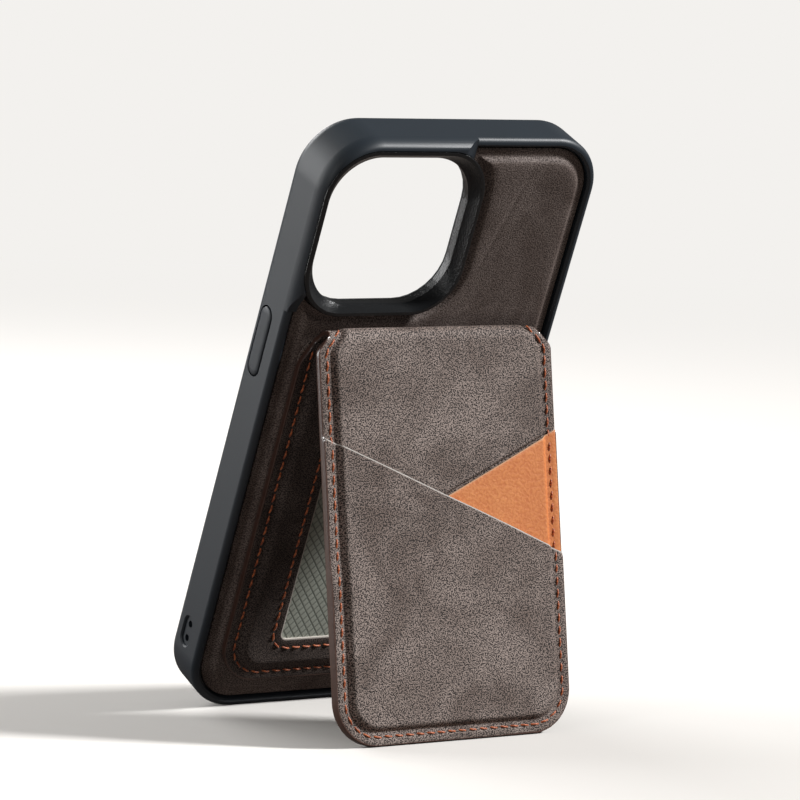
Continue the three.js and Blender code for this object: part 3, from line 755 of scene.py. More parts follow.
def spread(loops, guides, step):
    """The points of a flat pattern: its edges, its guide rows and an even fill between them."""
    edge = np.concatenate(loops)
    rows = [row[inside(row, loops)] for row in guides]
    chosen = [tuple(p) for p in edge]
    tree = KDTree(len(edge))
    for i, (x, y) in enumerate(edge):
        tree.insert((x, y, 0), i)
    tree.balance()
    for row in rows:
        chosen += [tuple(p) for p in row if tree.find((p[0], p[1], 0))[2] > 0.3 * step]
    tree = KDTree(len(chosen))
    for i, (x, y) in enumerate(chosen):
        tree.insert((x, y, 0), i)
    tree.balance()
    low, high = edge.min(0), edge.max(0)
    height = step * math.sqrt(3) / 2
    lines = np.arange(low[1] + height, high[1], height)
    fill = np.concatenate([
        np.c_[np.arange(low[0] + (k % 2) * step / 2, high[0], step), np.full_like(
            np.arange(low[0] + (k % 2) * step / 2, high[0], step), y)]
        for k, y in enumerate(lines)
    ])
    fill = fill[inside(fill, loops)]
    chosen += [tuple(p) for p in fill if tree.find((p[0], p[1], 0))[2] > 0.6 * step]
    return np.array(chosen)


def flat_pattern(loops, guides, step):
    """A flat triangle mesh of the region between the loops: its points, faces and edge lines."""
    points = spread(loops, guides, step)
    edges, first = [], 0
    for loop in loops:
        count = len(loop)
        edges += [(first + i, first + (i + 1) % count) for i in range(count)]
        first += count
    made = delaunay_2d_cdt([Vector(p) for p in points], edges, [], 0, 1e-5)
    flat = np.array([tuple(v) for v in made[0]])
    faces = np.array([f for f in made[2] if len(f) == 3])
    kept = inside(flat[faces].mean(1), loops)
    faces = faces[kept]
    a, b, c = (flat[faces[:, k]] for k in range(3))
    area = (b[:, 0] - a[:, 0]) * (c[:, 1] - a[:, 1]) - (c[:, 0] - a[:, 0]) * (b[:, 1] - a[:, 1])
    faces[area < 0] = faces[area < 0][:, ::-1]
    faces = faces[np.abs(area) > 1e-9]
    used = np.unique(faces)
    order = np.full(len(flat), -1)
    order[used] = np.arange(len(used))
    return flat[used], order[faces]


def sheet(name, loops, guides, step, top, under, place, materials, skived=None):
    """A leather piece: a flat pattern given a top and an under surface, with a cut edge between.

    The first finish is the leather's face and the last one its cut edge, which also shows where
    skived marks the face as pared away. The flat pattern is kept in metres as the piece's UV
    map, so that the grain follows the leather."""
    flat, faces = flat_pattern(loops, guides, step)
    upper = top(flat)
    lower = under(flat, upper)
    count = len(flat)
    points = np.concatenate([place(flat[:, 0], flat[:, 1], upper), place(flat[:, 0], flat[:, 1], lower)])
    sides = {}
    for a, b, c in faces:
        for line in ((a, b), (b, c), (c, a)):
            if (line[1], line[0]) in sides:
                del sides[(line[1], line[0])]
            else:
                sides[line] = True
    all_faces = [tuple(f) for f in faces]
    all_faces += [(c + count, b + count, a + count) for a, b, c in faces]
    rim = [(b, a, a + count, b + count) for a, b in sides]
    slots = np.zeros(len(all_faces) + len(rim), int)
    slots[len(all_faces):] = len(materials) - 1
    if skived is not None:
        slots[:len(faces)][skived(flat[faces].mean(1))] = len(materials) - 1
        rim_middle = np.array([(flat[a] + flat[b]) / 2 for a, b in sides])
        slots[len(all_faces):] *= skived(rim_middle)
    piece = new_piece(name, points, all_faces + rim, materials, slots)
    grain = piece.data.uv_layers.new(name="pattern")
    corners = np.empty(len(piece.data.loops), np.int32)
    piece.data.loops.foreach_get("vertex_index", corners)
    grain.data.foreach_set("uv", (np.concatenate([flat, flat]) * MM)[corners].astype(np.float32).ravel())
    return piece


def bell(distance, width):
    """1 on a line, falling softly to 0 on both sides of it."""
    return np.exp(-((distance / width) ** 2))


def crease(points, start, end, width, depth):
    """A soft fold line from start to end that fades at both ends; depth below 0 is a furrow."""
    start, end = np.array(start), np.array(end)
    line = end - start
    share = (points - start) @ line / (line @ line)
    away = np.linalg.norm(points - start - np.clip(share, 0, 1)[:, None] * line, axis=1)
    fade = np.sin(math.pi * np.clip(share, 0, 1)) ** 0.5
    return depth * fade * bell(away, width)


def unevenness(points, size):
    """The leather's gentle unevenness, from a few crossing waves."""
    x, y = points[:, 0] / size, points[:, 1] / size
    waves = np.sin(x * 1.9 + 0.6 * np.sin(y * 1.3)) + np.sin(y * 1.6 + 0.8 * np.sin(x * 1.1 + 1.7))
    return waves * 0.5


def leather(name, dark, light, patch, coords="UV", grain=0.3, edge=0.1, rough=0.7):
    """Nubuck-finished leather: brushed pale tips over a dark ground in a fine grain, cloudy in
    patches where the nap lies differently."""
    material, tree = new_material(name)
    place = add(tree, "ShaderNodeTexCoord")
    where = place.outputs[coords]
    pebble = add(tree, "ShaderNodeTexNoise", {
        "Scale": 1 / (grain * MM), "Detail": 0.6, "Roughness": 0.5, "Distortion": 0.5,
    }, {"Vector": where})
    cloud = add(tree, "ShaderNodeTexNoise", {
        "Scale": 1 / (24 * MM), "Detail": 3.0, "Roughness": 0.6, "Distortion": 1.2,
    }, {"Vector": where})
    wrinkle = add(tree, "ShaderNodeTexNoise", {
        "Scale": 1 / (2.4 * MM), "Detail": 3.0, "Roughness": 0.55,
    }, {"Vector": where})
    speck = add(tree, "ShaderNodeMapRange", {
        "From Min": 0.5 - edge, "From Max": 0.5 + edge, "interpolation_type": "SMOOTHSTEP",
    }, {"Value": pebble.outputs["Fac"]})
    nap = add(tree, "ShaderNodeMapRange", {"From Min": 0.36, "From Max": 0.64}, {
        "Value": cloud.outputs["Fac"],
    })
    speckled = add(tree, "ShaderNodeMixRGB", {"Color1": linear(dark), "Color2": linear(light)}, {
        "Fac": speck.outputs[0],
    })
    tone = add(tree, "ShaderNodeMixRGB", {"Color1": linear(patch), "Color2": (1, 1, 1, 1)}, {
        "Fac": nap.outputs[0],
    })
    worn = add(tree, "ShaderNodeMixRGB", {"blend_type": "MULTIPLY", "Fac": 1.0}, {
        "Color1": speckled.outputs["Color"], "Color2": tone.outputs["Color"],
    })
    relief = add(tree, "ShaderNodeMath", {"operation": "MULTIPLY_ADD", 1: 0.6}, {
        0: wrinkle.outputs["Fac"], 2: speck.outputs[0],
    })
    bump = add(tree, "ShaderNodeBump", {"Strength": 0.5, "Distance": 0.06 * MM}, {
        "Height": relief.outputs[0],
    })
    roughness = add(tree, "ShaderNodeMapRange", {"To Min": rough + 0.1, "To Max": rough - 0.06}, {
        "Value": speck.outputs[0],
    })
    finish_material(tree, {"IOR": 1.45}, {
        "Base Color": worn.outputs["Color"],
        "Roughness": roughness.outputs[0],
        "Normal": bump.outputs["Normal"],
    })
    return material


def raw_edge(name, dark, light):
    """The pared edge of split leather: pale, fibrous and matt."""
    return mottled(name, 0.8, 3.0, dark, light, {"Roughness": 0.8})


back_taupe = leather("taupe_back_leather", "#453a36", "#8c7f79", "#c8c0bc", grain=0.3, edge=0.2)
dark_nubuck = leather("dark_lining_leather", "#2a2220", "#71655f", "#b8b0ac", rough=0.78)

bed_plan = grown(case_plan, -LEATHER_EDGE)
guard_gap = grown(guard_plan, EDGE_GAP)


def back_region():
    """The leather's outline: the bed of the case without the guard and the raised rim beside it."""
    base = prism("bed", outline(bed_plan, 24), 0, 1)
    trimmed = carved(base, [
        ("DIFFERENCE", slab("hole", guard_gap, -1, 2, steps=24)),
        ("DIFFERENCE", prism("notch", island_plan(EDGE_GAP), -1, 2)),
    ])
    mesh = trimmed.data
    flat_edges = {}
    for polygon in mesh.polygons:
        if polygon.normal.z > 0.9:
            for a, b in polygon.edge_keys:
                flat_edges[(a, b)] = flat_edges.get((a, b), 0) + 1
    neighbours = {}
    for (a, b), uses in flat_edges.items():
        if uses == 1:
            neighbours.setdefault(a, []).append(b)
            neighbours.setdefault(b, []).append(a)
    loops = []
    while neighbours:
        start = max(neighbours, key=lambda i: mesh.vertices[i].co.y)
        loop, previous, current = [start], None, start
        while True:
            onward = [n for n in neighbours[current] if n != previous]
            previous, current = current, onward[0]
            if current == start:
                break
            loop.append(current)
        for i in loop:
            del neighbours[i]
        loops.append(np.array([mesh.vertices[i].co.to_2d() for i in loop]))
    bpy.data.objects.remove(trimmed)
    return max(loops, key=len)


def back_top(points):
    """Height of the leather: the hem, the slope and the pillow, with the moat round the guard."""
    from_edge = depth_in(points, bed_plan)
    from_guard = -depth_in(points, guard_plan)
    near = np.minimum(from_edge, from_guard + HEM_WIDTH - MOAT)
    pillow = eased(near, HEM_WIDTH - 0.4, HEM_WIDTH + PAD_SLOPE)
    above_wallet = eased(points[:, 1], *WALLET_HEAD)
    crown = LEATHER_CROWN * above_wallet * eased(near, 1.6, 5)
    height = LEATHER_HEM + (LEATHER_RISE - LEATHER_HEM) * pillow + crown
    height -= (LEATHER_EDGE_DROP + LEATHER_HEM) * (1 - eased(from_edge, 0, 0.5))
    height += 0.05 * above_wallet * unevenness(points, 6.0) * pillow
    for fold in BACK_CREASES:
        height += above_wallet * crease(points, *fold)
    return height


leather_loop = divided(back_region(), LEATHER_STEP)
hem_rows = [outline(grown(bed_plan, -e), 24, LEATHER_STEP) for e in np.arange(0.4, 5.0, 0.4)]
hem_rows += [outline(grown(guard_plan, e), 24, LEATHER_STEP) for e in np.arange(0.7, 4.5, 0.4)]
back = sheet(
    "leather_back",
    [leather_loop],
    hem_rows,
    LEATHER_STEP,
    back_top,
    lambda flat, upper: np.full(len(flat), BED_LEVEL),
    on_case,
    [back_taupe, dark_nubuck],
)
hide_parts("back_leather")
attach(back, "case")

# Wallet cover: the strut's front and the fold
# One piece of taupe leather covers the strut's front over foam, runs narrower over the fold, and is
# tucked into the head of the wallet's back panel. The seam and its groove hold the foam in.
PANEL_WIDTH = 64.1
PANEL_BOTTOM = 9.0
PANEL_TOP = 101.3
PANEL_FOOT_CORNER = 10.4
STRUT_LENGTH = 95.22
SEAM_LEVEL = 1.8
COVER_THICKNESS = 0.45
FOLD_THICKNESS = 0.95
FOLD_HALF = 28.6
STRAIGHT_END = -3.0
FOLD_START_PULL = 5.2
FOLD_END_PULL = 2.4
FOLD_END_LEAN = 0.8
PANEL_FACE = 0.4
TUCK = 0.5
PAD_RISE = 0.95
SEAM_INSET = 2.0
GROOVE_INSET = 3.0
PAD_INSET = 4.6
MOUTH_DEPTH = 38.85
MOUTH_SLOPE = math.tan(math.radians(24.45))
TAN_GAP = 0.8
COVER_STEP = 0.6
STITCH_DIP = 0.14
DIP_WIDTH = 0.45
PRESSED_GROOVE = 0.22
PRESSED_WIDTH = 0.5
CUT_FALL = 0.12
CUT_ROUNDING = 0.35
CROWN = 0.18
CROWN_SPAN = (4, 20)
NARROWING = (-5.2, 0.2)
WIDENING = (-2.5, 6.5)
LAYER_INSET = 0.12
PAD_END = (-1.5, 4.0)
FOAM_END = (-2.5, 0.5)
SURFACE_WAVE = 0.05

taupe = leather("taupe_nubuck_leather", "#2b2422", "#a4948c", "#c4bdb9", edge=0.07)

opening_cos, opening_sin = math.cos(STRUT_OPENING), math.sin(STRUT_OPENING)


def strut_point(y, z):
    """A point of the strut frame in the case frame's y and z."""
    return np.array([
        FOLD_HEIGHT + y * opening_cos + z * opening_sin,
        FOLD_STAND_OFF - y * opening_sin + z * opening_cos,
    ])


def wallet_line():
    """The line that the cover follows, seen from the side, from the strut's foot over the fold and
    down to the foot of the back panel, as distances along it with places and outward normals."""
    start = strut_point(STRAIGHT_END, SEAM_LEVEL)
    end = np.array([PANEL_TOP - TUCK, PANEL_FACE])
    pull_a = start + FOLD_START_PULL * np.array([opening_cos, -opening_sin])
    pull_b = end + np.array([FOLD_END_PULL, FOLD_END_LEAN])
    t = np.linspace(0, 1, 61)[:, None]
    bend = (
        (1 - t) ** 3 * start
        + 3 * (1 - t) ** 2 * t * pull_a
        + 3 * (1 - t) * t ** 2 * pull_b
        + t ** 3 * end
    )
    foot = strut_point(-STRUT_LENGTH, SEAM_LEVEL)
    low = np.array([PANEL_BOTTOM, PANEL_FACE])
    strut_part = foot + (start - foot) * np.linspace(0, 1, 200)[:-1, None]
    panel_part = end + (low - end) * np.linspace(0, 1, 200)[1:, None]
    line = np.concatenate([strut_part, bend, panel_part])
    along = np.r_[0, np.cumsum(np.linalg.norm(np.diff(line, axis=0), axis=1))] - STRUT_LENGTH
    heading = np.gradient(line, along, axis=0)
    heading /= np.linalg.norm(heading, axis=1)[:, None]
    normal = np.c_[-heading[:, 1], heading[:, 0]]
    return along, line, normal


along_line, line_places, line_normals = wallet_line()
fold_end = along_line[-200]
pattern_end = along_line[-1]


def on_wallet(x, p, h):
    """A place on the cover: x across, p along its flat pattern, and h out of its face."""
    y = np.interp(p, along_line, line_places[:, 0]) + h * np.interp(p, along_line, line_normals[:, 0])
    z = np.interp(p, along_line, line_places[:, 1]) + h * np.interp(p, along_line, line_normals[:, 1])
    return on_case(x, y, z)


def half_width(p):
    """Half the wallet's width along its flat pattern: it narrows over the fold."""
    narrow = eased(p, *NARROWING) * (1 - eased(p, fold_end + WIDENING[0], fold_end + WIDENING[1]))
    return PANEL_WIDTH / 2 - (PANEL_WIDTH / 2 - FOLD_HALF) * narrow


strut_plan = frame_box(-PANEL_WIDTH / 2, PANEL_WIDTH / 2, -STRUT_LENGTH, 200, PANEL_FOOT_CORNER, 1)


def strut_depth(points):
    """How far points of the flat pattern lie inside the strut's edge."""
    from_side = half_width(points[:, 1]) - np.abs(points[:, 0])
    return np.minimum(depth_in(points, strut_plan), from_side)


def strut_edge(inwards, top, spacing):
    """The strut's edge in the flat pattern, a given distance in, from its head on the right down
    round the foot to its head on the left."""
    loop = outline(grown(strut_plan, -inwards), 24)
    right_foot, left_foot = loop[:25], loop[-25:]
    levels = np.arange(top, right_foot[-1, 1] + spacing, -spacing)
    side = half_width(levels) - inwards
    right_side = np.c_[side, levels]
    foot_line = np.array([right_foot[0], left_foot[-1]])
    count = round(float(foot_line[0, 0] - foot_line[1, 0]) / spacing)
    share = np.linspace(0, 1, count + 1)[1:-1, None]
    foot = foot_line[0] + (foot_line[1] - foot_line[0]) * share
    return np.concatenate([
        right_side, right_foot[::-1], foot, left_foot[::-1], right_side[::-1] * (-1, 1),
    ])


def pressed(depth, rise):
    """Section of a sewn, padded edge: margin, stitch dip, groove, and the slope to the pad."""
    height = rise * eased(depth, GROOVE_INSET, PAD_INSET)
    height -= STITCH_DIP * bell(depth - SEAM_INSET, DIP_WIDTH)
    height -= PRESSED_GROOVE * bell(depth - GROOVE_INSET, PRESSED_WIDTH)
    height -= CUT_FALL * (1 - eased(depth, 0, CUT_ROUNDING))
    return height


def mouth_level(side, x):
    """Level of a slanted mouth across the strut; side is 1 where it is high on the left."""
    return -MOUTH_DEPTH - side * MOUTH_SLOPE * x


def below_mouth(points, side):
    """How far points lie below a mouth, square to it."""
    return (mouth_level(side, points[:, 0]) - points[:, 1]) / math.hypot(1, MOUTH_SLOPE)


def mouth_row(side, across, inwards):
    """Guide points along a mouth, a distance below it."""
    return np.c_[across, mouth_level(side, across) - inwards * math.hypot(1, MOUTH_SLOPE)]


def cover_top(points):
    depth = strut_depth(points)
    over_fold = eased(points[:, 1], *PAD_END)
    height = pressed(depth, PAD_RISE) * (1 - over_fold)
    height = height - CUT_FALL * (1 - eased(depth, 0, CUT_ROUNDING)) * over_fold
    crown = CROWN * eased(depth, *CROWN_SPAN) * (1 - eased(points[:, 1], -8, 2))
    tuck = TUCK * eased(points[:, 1], fold_end - 4.0, fold_end)
    from_slot = below_mouth(points, -1) + 0.25
    gap = TAN_GAP * bell(from_slot, 0.3) * eased(points[:, 0], -2, 1)
    gap *= eased(depth, SEAM_INSET, PAD_INSET)
    return height + crown + SURFACE_WAVE * unevenness(points, 7.0) * (1 - over_fold) - tuck - gap


def cover_under(points, upper):
    over_fold = eased(points[:, 1], *FOAM_END)
    flat_under = np.full(len(points), -COVER_THICKNESS)
    return flat_under * (1 - over_fold) + (upper - FOLD_THICKNESS + 0.05) * over_fold


cover_edge = strut_edge(0, fold_end, COVER_STEP)
head_count = round(2 * FOLD_HALF / COVER_STEP)
head_side = cover_edge[0, 0]
head_row = np.c_[np.linspace(-head_side, head_side, head_count + 1), np.full(head_count + 1, fold_end)]
cover_loop = np.concatenate([cover_edge, head_row[1:-1]])
cover_guides = [strut_edge(e, fold_end, COVER_STEP) for e in np.arange(0.35, 5.6, 0.35)]
slot_across = np.arange(-2, 31.5, 0.4)
cover_guides += [mouth_row(-1, slot_across, inwards) for inwards in (-0.85, -0.55, -0.25, 0.05)]
cover = sheet(
    "wallet_cover",
    [cover_loop],
    cover_guides,
    COVER_STEP,
    cover_top,
    cover_under,
    on_wallet,
    [taupe, dark_nubuck],
)
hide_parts("strut_facing", "fold_spine")

blend_start = Vector(on_case(0, FOLD_HEIGHT, 2.6))
blend_end = Vector(on_case(0, FOLD_HEIGHT, 6.2))
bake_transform(cover)

# Card pockets on the strut
# The tan pocket lies under the dark one. Each is one layer of leather with a slanted, cut mouth,
# sewn into the strut's edge, and a little slack in the middle where a card goes in.
TAN_THICKNESS = 0.4
DARK_THICKNESS = 0.45
TAN_LEVEL = 0.5
DARK_LEVEL = 0.55
POCKET_STEP = 0.6
TAN_PARING = 0.2
DARK_PARING = 0.27
POCKET_HEAD = -10
MOUTH_FALL = 0.08
MOUTH_ROUNDING = 0.3


def pocket_loop(side):
    """The pocket's outline: the strut's edge below the mouth, closed along the mouth."""
    edge = strut_edge(LAYER_INSET, POCKET_HEAD, POCKET_STEP)
    kept = edge[below_mouth(edge, side) > 0.3]
    half = PANEL_WIDTH / 2 - LAYER_INSET
    right = np.array([half, mouth_level(side, half)])
    left = np.array([-half, mouth_level(side, -half)])
    count = round(float(np.linalg.norm(right - left)) / POCKET_STEP)
    mouth = left + (right - left) * np.linspace(0, 1, count + 1)[:, None]
    return np.concatenate([kept, mouth])


def tan_top(points):
    lifted = pressed(strut_depth(points), PAD_RISE + 0.05)
    slack = 0.18 * bell(below_mouth(points, -1), 9.0) * eased(strut_depth(points), 4, 14)
    edge = MOUTH_FALL * (1 - eased(below_mouth(points, -1), 0, MOUTH_ROUNDING))
    crown = CROWN * eased(strut_depth(points), *CROWN_SPAN)
    return TAN_LEVEL + lifted + crown + slack - edge


def dark_top(points):
    depth = strut_depth(points)
    over_tan = eased(below_mouth(points, -1), -2.0, 6.0)
    lifted = pressed(depth, PAD_RISE + 0.1)
    slack = 0.3 * bell(below_mouth(points, 1), 12.0) * eased(depth, 4, 16)
    edge = MOUTH_FALL * (1 - eased(below_mouth(points, 1), 0, MOUTH_ROUNDING))
    crown = 0.25 * eased(depth, *CROWN_SPAN)
    base = DARK_LEVEL + TAN_LEVEL * over_tan
    return base + lifted + crown + slack - edge + 0.06 * unevenness(points, 8.0)


tan_hide = leather(
    "smooth_tan_leather", "#cd7b44", "#e2955c", "#f4e6dc", grain=0.7, edge=0.3, rough=0.5,
)
tan_edge = raw_edge("pared_tan_edge", "#bd8a64", "#dcb08c")
pale_edge = raw_edge("pared_pale_edge", "#a19a94", "#cfc9c3")
POCKETS = {
    "tan_pocket": (-1, tan_top, TAN_THICKNESS, TAN_PARING, [tan_hide, tan_edge], "tan_leather"),
    "dark_pocket": (1, dark_top, DARK_THICKNESS, DARK_PARING, [taupe, pale_edge], "taupe_leather"),
}
for node, (side, pocket_top, thickness, paring, finishes, slot) in POCKETS.items():
    across = np.arange(-31.5, 31.6, 0.5 * POCKET_STEP)
    mouth_rows = [mouth_row(side, across, inwards) for inwards in (paring, 0.8, 1.3, 1.9)]
    pocket = sheet(
        f"{node}_leather",
        [pocket_loop(side)],
        [strut_edge(e, POCKET_HEAD, POCKET_STEP) for e in np.arange(0.4, 5.6, 0.35)] + mouth_rows,
        POCKET_STEP,
        pocket_top,
        lambda flat, upper, t=thickness: upper - t,
        on_wallet,
        finishes,
        lambda flat, s=side, edge=paring: below_mouth(flat, s) < edge,
    )
    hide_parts(node)
    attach(pocket, "strut")

# Lining of the strut
# A layer of dark leather on the side that closes on the wallet, bonded to the card board.
LINING_LOW = 0.25
LINING_THICKNESS = 0.4
LINING_HEAD = -1.2


def lining_under(points, upper):
    """Under side of the lining, drawn in at the seam and rounded at its edge."""
    depth = strut_depth(points)
    dip = 0.1 * bell(depth - SEAM_INSET, DIP_WIDTH)
    return np.full(len(points), LINING_LOW - SEAM_LEVEL) + dip + 0.1 * (1 - eased(depth, 0, CUT_ROUNDING))


lining_edge = strut_edge(LAYER_INSET, LINING_HEAD, COVER_STEP)
lining_side = lining_edge[0, 0]
lining_head = np.c_[np.linspace(-lining_side, lining_side, 100), np.full(100, LINING_HEAD)]
strut_lining = sheet(
    "strut_lining_leather",
    [np.concatenate([lining_edge, lining_head[1:-1]])],
    [strut_edge(e, LINING_HEAD, COVER_STEP) for e in np.arange(0.5, 3.6, 0.4)],
    1.0,
    lambda flat: np.full(len(flat), LINING_LOW + LINING_THICKNESS - SEAM_LEVEL),
    lining_under,
    on_wallet,
    [dark_nubuck],
)
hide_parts("strut_lining")
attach(strut_lining, "strut")

# Wallet's back panel: the leather with the window
# Dark leather sewn to the board at its sides and foot, raised over the card slot, with a window
# cut in it. Its head is the mouth of the slot.
SEAM_LOW = 1.7
FACING_THICKNESS = 0.5
FACING_RAISED = 3.26
WINDOW = frame_box(-17.9, 17.9, 20.6, 82.0, 1.8)
PANEL_HEAD_CORNER = 5.0
WINDOW_PARING = 0.3
FACING_SEAM = 2.4
FACING_DIP = 0.12
FACING_CUT = 0.15
FACING_SLOPE = (2.9, 5.5)

panel_plan = frame_box(
    -PANEL_WIDTH / 2,
    PANEL_WIDTH / 2,
    PANEL_BOTTOM,
    PANEL_TOP,
    PANEL_FOOT_CORNER,
    PANEL_HEAD_CORNER,
)


def facing_top(points):
    """The panel's leather: low at its sewn edge, high over the slot, dipped at both seams."""
    open_head = frame_box(-PANEL_WIDTH / 2, PANEL_WIDTH / 2, PANEL_BOTTOM, 300, PANEL_FOOT_CORNER, 1)
    depth = depth_in(points, open_head)
    from_window = -depth_in(points, WINDOW)
    height = SEAM_LOW + FACING_THICKNESS
    height = height + (FACING_RAISED - height) * eased(depth, *FACING_SLOPE)
    height -= FACING_DIP * bell(depth - FACING_SEAM, PRESSED_WIDTH)
    height -= FACING_DIP * bell(from_window - FACING_SEAM, PRESSED_WIDTH)
    height -= FACING_CUT * (1 - eased(depth_in(points, panel_plan), 0, CUT_ROUNDING))
    height -= FACING_CUT * (1 - eased(from_window, 0, 0.6))
    return height + 0.04 * unevenness(points, 6.0)


def narrowed(loop):
    """The loop drawn in where the wallet narrows towards the fold."""
    limit = half_width(fold_end + PANEL_TOP - TUCK - loop[:, 1]) - LAYER_INSET
    return np.c_[np.clip(loop[:, 0], -limit, limit), loop[:, 1]]


facing_step = 0.65
window_edge = raw_edge("pared_window_edge", "#a79f97", "#d3ccc4")
facing = sheet(
    "window_leather",
    [
        narrowed(outline(grown(panel_plan, -LAYER_INSET), 20, facing_step)),
        outline(WINDOW, 8, facing_step)[::-1],
    ],
    [outline(grown(panel_plan, -e), 20, facing_step) for e in np.arange(0.5, 6.0, 0.45)]
    + [outline(grown(WINDOW, e), 8, facing_step) for e in np.arange(WINDOW_PARING, 3.6, 0.4)],
    facing_step,
    facing_top,
    lambda flat, upper: upper - FACING_THICKNESS,
    on_case,
    [dark_nubuck, window_edge],
    lambda flat: -depth_in(flat, WINDOW) < WINDOW_PARING,
)
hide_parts("window_facing")
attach(facing, "case")

# Window film
# A sheet of translucent polypropylene behind the window, embossed with a lattice of fine lines
# that cross in diamonds. Its grey-green is partly the film's milky tone and partly painted light,
# made paler for the light the glossy, translucent sheet catches, and it is painted darker along the
# lines. Each family of lines has an angle in degrees, a spacing in millimetres and a share of it that is dark.
LATTICE = ((54, 1.75, 0.2), (-48, 1.5, 0.2))


def lattice_film():
    """Embossed polypropylene: glossy, with two families of dark crossing lines; its pale grey-green is partly the
    film's milky tone and partly painted light.
    """
    material, tree = new_material("embossed_polypropylene")
    place = add(tree, "ShaderNodeTexCoord")
    turned = add(tree, "ShaderNodeMapping", {
        "Rotation": (-(math.pi / 2 + case_tilt), 0, 0),
    }, {"Vector": place.outputs["Object"]})
    lines = []
    for angle, spacing, width in LATTICE:
        heading = math.radians(angle)
        across = add(tree, "ShaderNodeVectorMath", {
            "operation": "DOT_PRODUCT",
            1: (math.sin(heading) / (spacing * MM), math.cos(heading) / (spacing * MM), 0),
        }, {0: turned.outputs[0]})
        wave = add(tree, "ShaderNodeMath", {"operation": "PINGPONG", 1: 0.5}, {
            0: across.outputs["Value"],
        })
        line = add(tree, "ShaderNodeMapRange", {
            "From Min": 0.0, "From Max": width, "To Min": 1.0, "To Max": 0.0,
            "interpolation_type": "SMOOTHSTEP",
        }, {"Value": wave.outputs[0]})
        lines.append(line)
    strong = add(tree, "ShaderNodeMath", {"operation": "MULTIPLY", 1: 0.85}, {0: lines[1].outputs[0]})
    both = add(tree, "ShaderNodeMath", {"operation": "MAXIMUM"}, {
        0: lines[0].outputs[0], 1: strong.outputs[0],
    })
    # The pale colour is partly painted light: brighter than the film's own milky tone, for the light the glossy,
    # translucent sheet catches.
    shade = add(tree, "ShaderNodeMixRGB", {
        "Color1": linear("#b6bbb0"), "Color2": linear("#747a72"),
    }, {"Fac": both.outputs[0]})
    bump = add(tree, "ShaderNodeBump", {"Strength": 0.6, "Distance": 0.05 * MM, "invert": True}, {
        "Height": both.outputs[0],
    })
    finish_material(tree, {"Roughness": 0.3, "IOR": 1.49}, {
        "Base Color": shade.outputs["Color"],
        "Normal": bump.outputs["Normal"],
    })
    return material


frame["nodes"]["id_window"].data.materials.clear()
frame["nodes"]["id_window"].data.materials.append(lattice_film())

# Painted edges of the wallet
# All the layers are trimmed together and sealed with brown edge paint, glossy and slightly round,
# which runs from the strut over the sides of the fold and round the back panel in one bead.
PAINT_LAP = 0.38
PAINT_BULGE = 0.16
PAINT_STEP = 0.6


# Acrylic edge paint: brown, built up in coats, with a clear gloss.
brown_paint = mottled(
    "brown_edge_paint", 1.2, 2.0, "#432d26", "#5a3f35",
    {"Roughness": 0.3, "IOR": 1.5, "Coat Weight": 1.0, "Coat Roughness": 0.18}, (0.15, 0.05),
)


def wallet_edge():
    """The whole wallet's edge in the flat pattern, as one closed loop."""
    foot = outline(strut_plan, 24)
    turn = np.linspace(0, math.pi / 2, 25)
    corner = PANEL_FOOT_CORNER
    half = PANEL_WIDTH / 2
    levels = np.arange(foot[24, 1] + PAINT_STEP, pattern_end - corner, PAINT_STEP)
    right_side = np.c_[half_width(levels), levels]
    far_corner = np.c_[half - corner + corner * np.cos(turn), pattern_end - corner + corner * np.sin(turn)]
    right = np.concatenate([foot[:25], right_side, far_corner])
    left = right[::-1] * (-1, 1)
    return divided(np.concatenate([right, left]), PAINT_STEP)


def paint_top(points):
    """Height of the outermost layer along the edge."""
    level = np.zeros(len(points))
    on_tan = eased(below_mouth(points, -1), 0, 0.5)
    on_dark = eased(below_mouth(points, 1), 0, 0.5)
    dark_level = DARK_LEVEL + TAN_LEVEL * eased(below_mouth(points, -1), -2, 6)
    level = level + (TAN_LEVEL - level) * on_tan
    return level + (np.maximum(dark_level, level) - level) * on_dark - 0.1


def paint_low(points):
    p = points[:, 1]
    strut_low = LINING_LOW - SEAM_LEVEL
    fold_low = -FOLD_THICKNESS
    panel_low = -(SEAM_LOW + FACING_THICKNESS - PANEL_FACE) + 0.1
    low = strut_low + (fold_low - strut_low) * eased(p, -4, 1)
    return low + (panel_low - low) * eased(p, fold_end - 3, fold_end + 3)


def paint_bead():
    edge = wallet_edge()
    onward = np.roll(edge, -1, 0) - np.roll(edge, 1, 0)
    outward = np.c_[onward[:, 1], -onward[:, 0]]
    outward /= np.linalg.norm(outward, axis=1)[:, None]
    high, low = paint_top(edge), paint_low(edge)
    middle, half = (high + low) / 2, (high - low) / 2
    section = [(-PAINT_LAP, 1.0, 0.02)]
    section += [
        (PAINT_BULGE * math.cos(a), math.sin(a), 0.06 * math.sin(a))
        for a in np.linspace(math.radians(75), math.radians(-75), 11)
    ]
    section += [(-PAINT_LAP, -1.0, -0.02), (-PAINT_LAP, 0.0, 0.0)]
    rings = []
    for out, share, extra in section:
        place = edge + outward * out
        rings.append(on_wallet(place[:, 0], place[:, 1], middle + half * share + extra))
    count = len(edge)
    faces = []
    for band in range(len(rings)):
        a, b = band * count, (band + 1) % len(rings) * count
        faces += [(a + i, b + i, b + (i + 1) % count, a + (i + 1) % count) for i in range(count)]
    return np.concatenate(rings), faces


paint = new_piece("edge_paint", *paint_bead(), [brown_paint], sharp=math.radians(60))
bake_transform(paint)

# Stitches
# Copper-coloured polyester thread, lockstitched about nine to the inch: each stitch rises out of one
# hole, lies a little slanted on the leather and goes down into the next.
STITCH_PITCH = 2.9
STITCH_LENGTH = 2.3
STITCH_THICKNESS = 0.46
STITCH_RISE = 0.3
STITCH_SLANT = math.radians(-7)


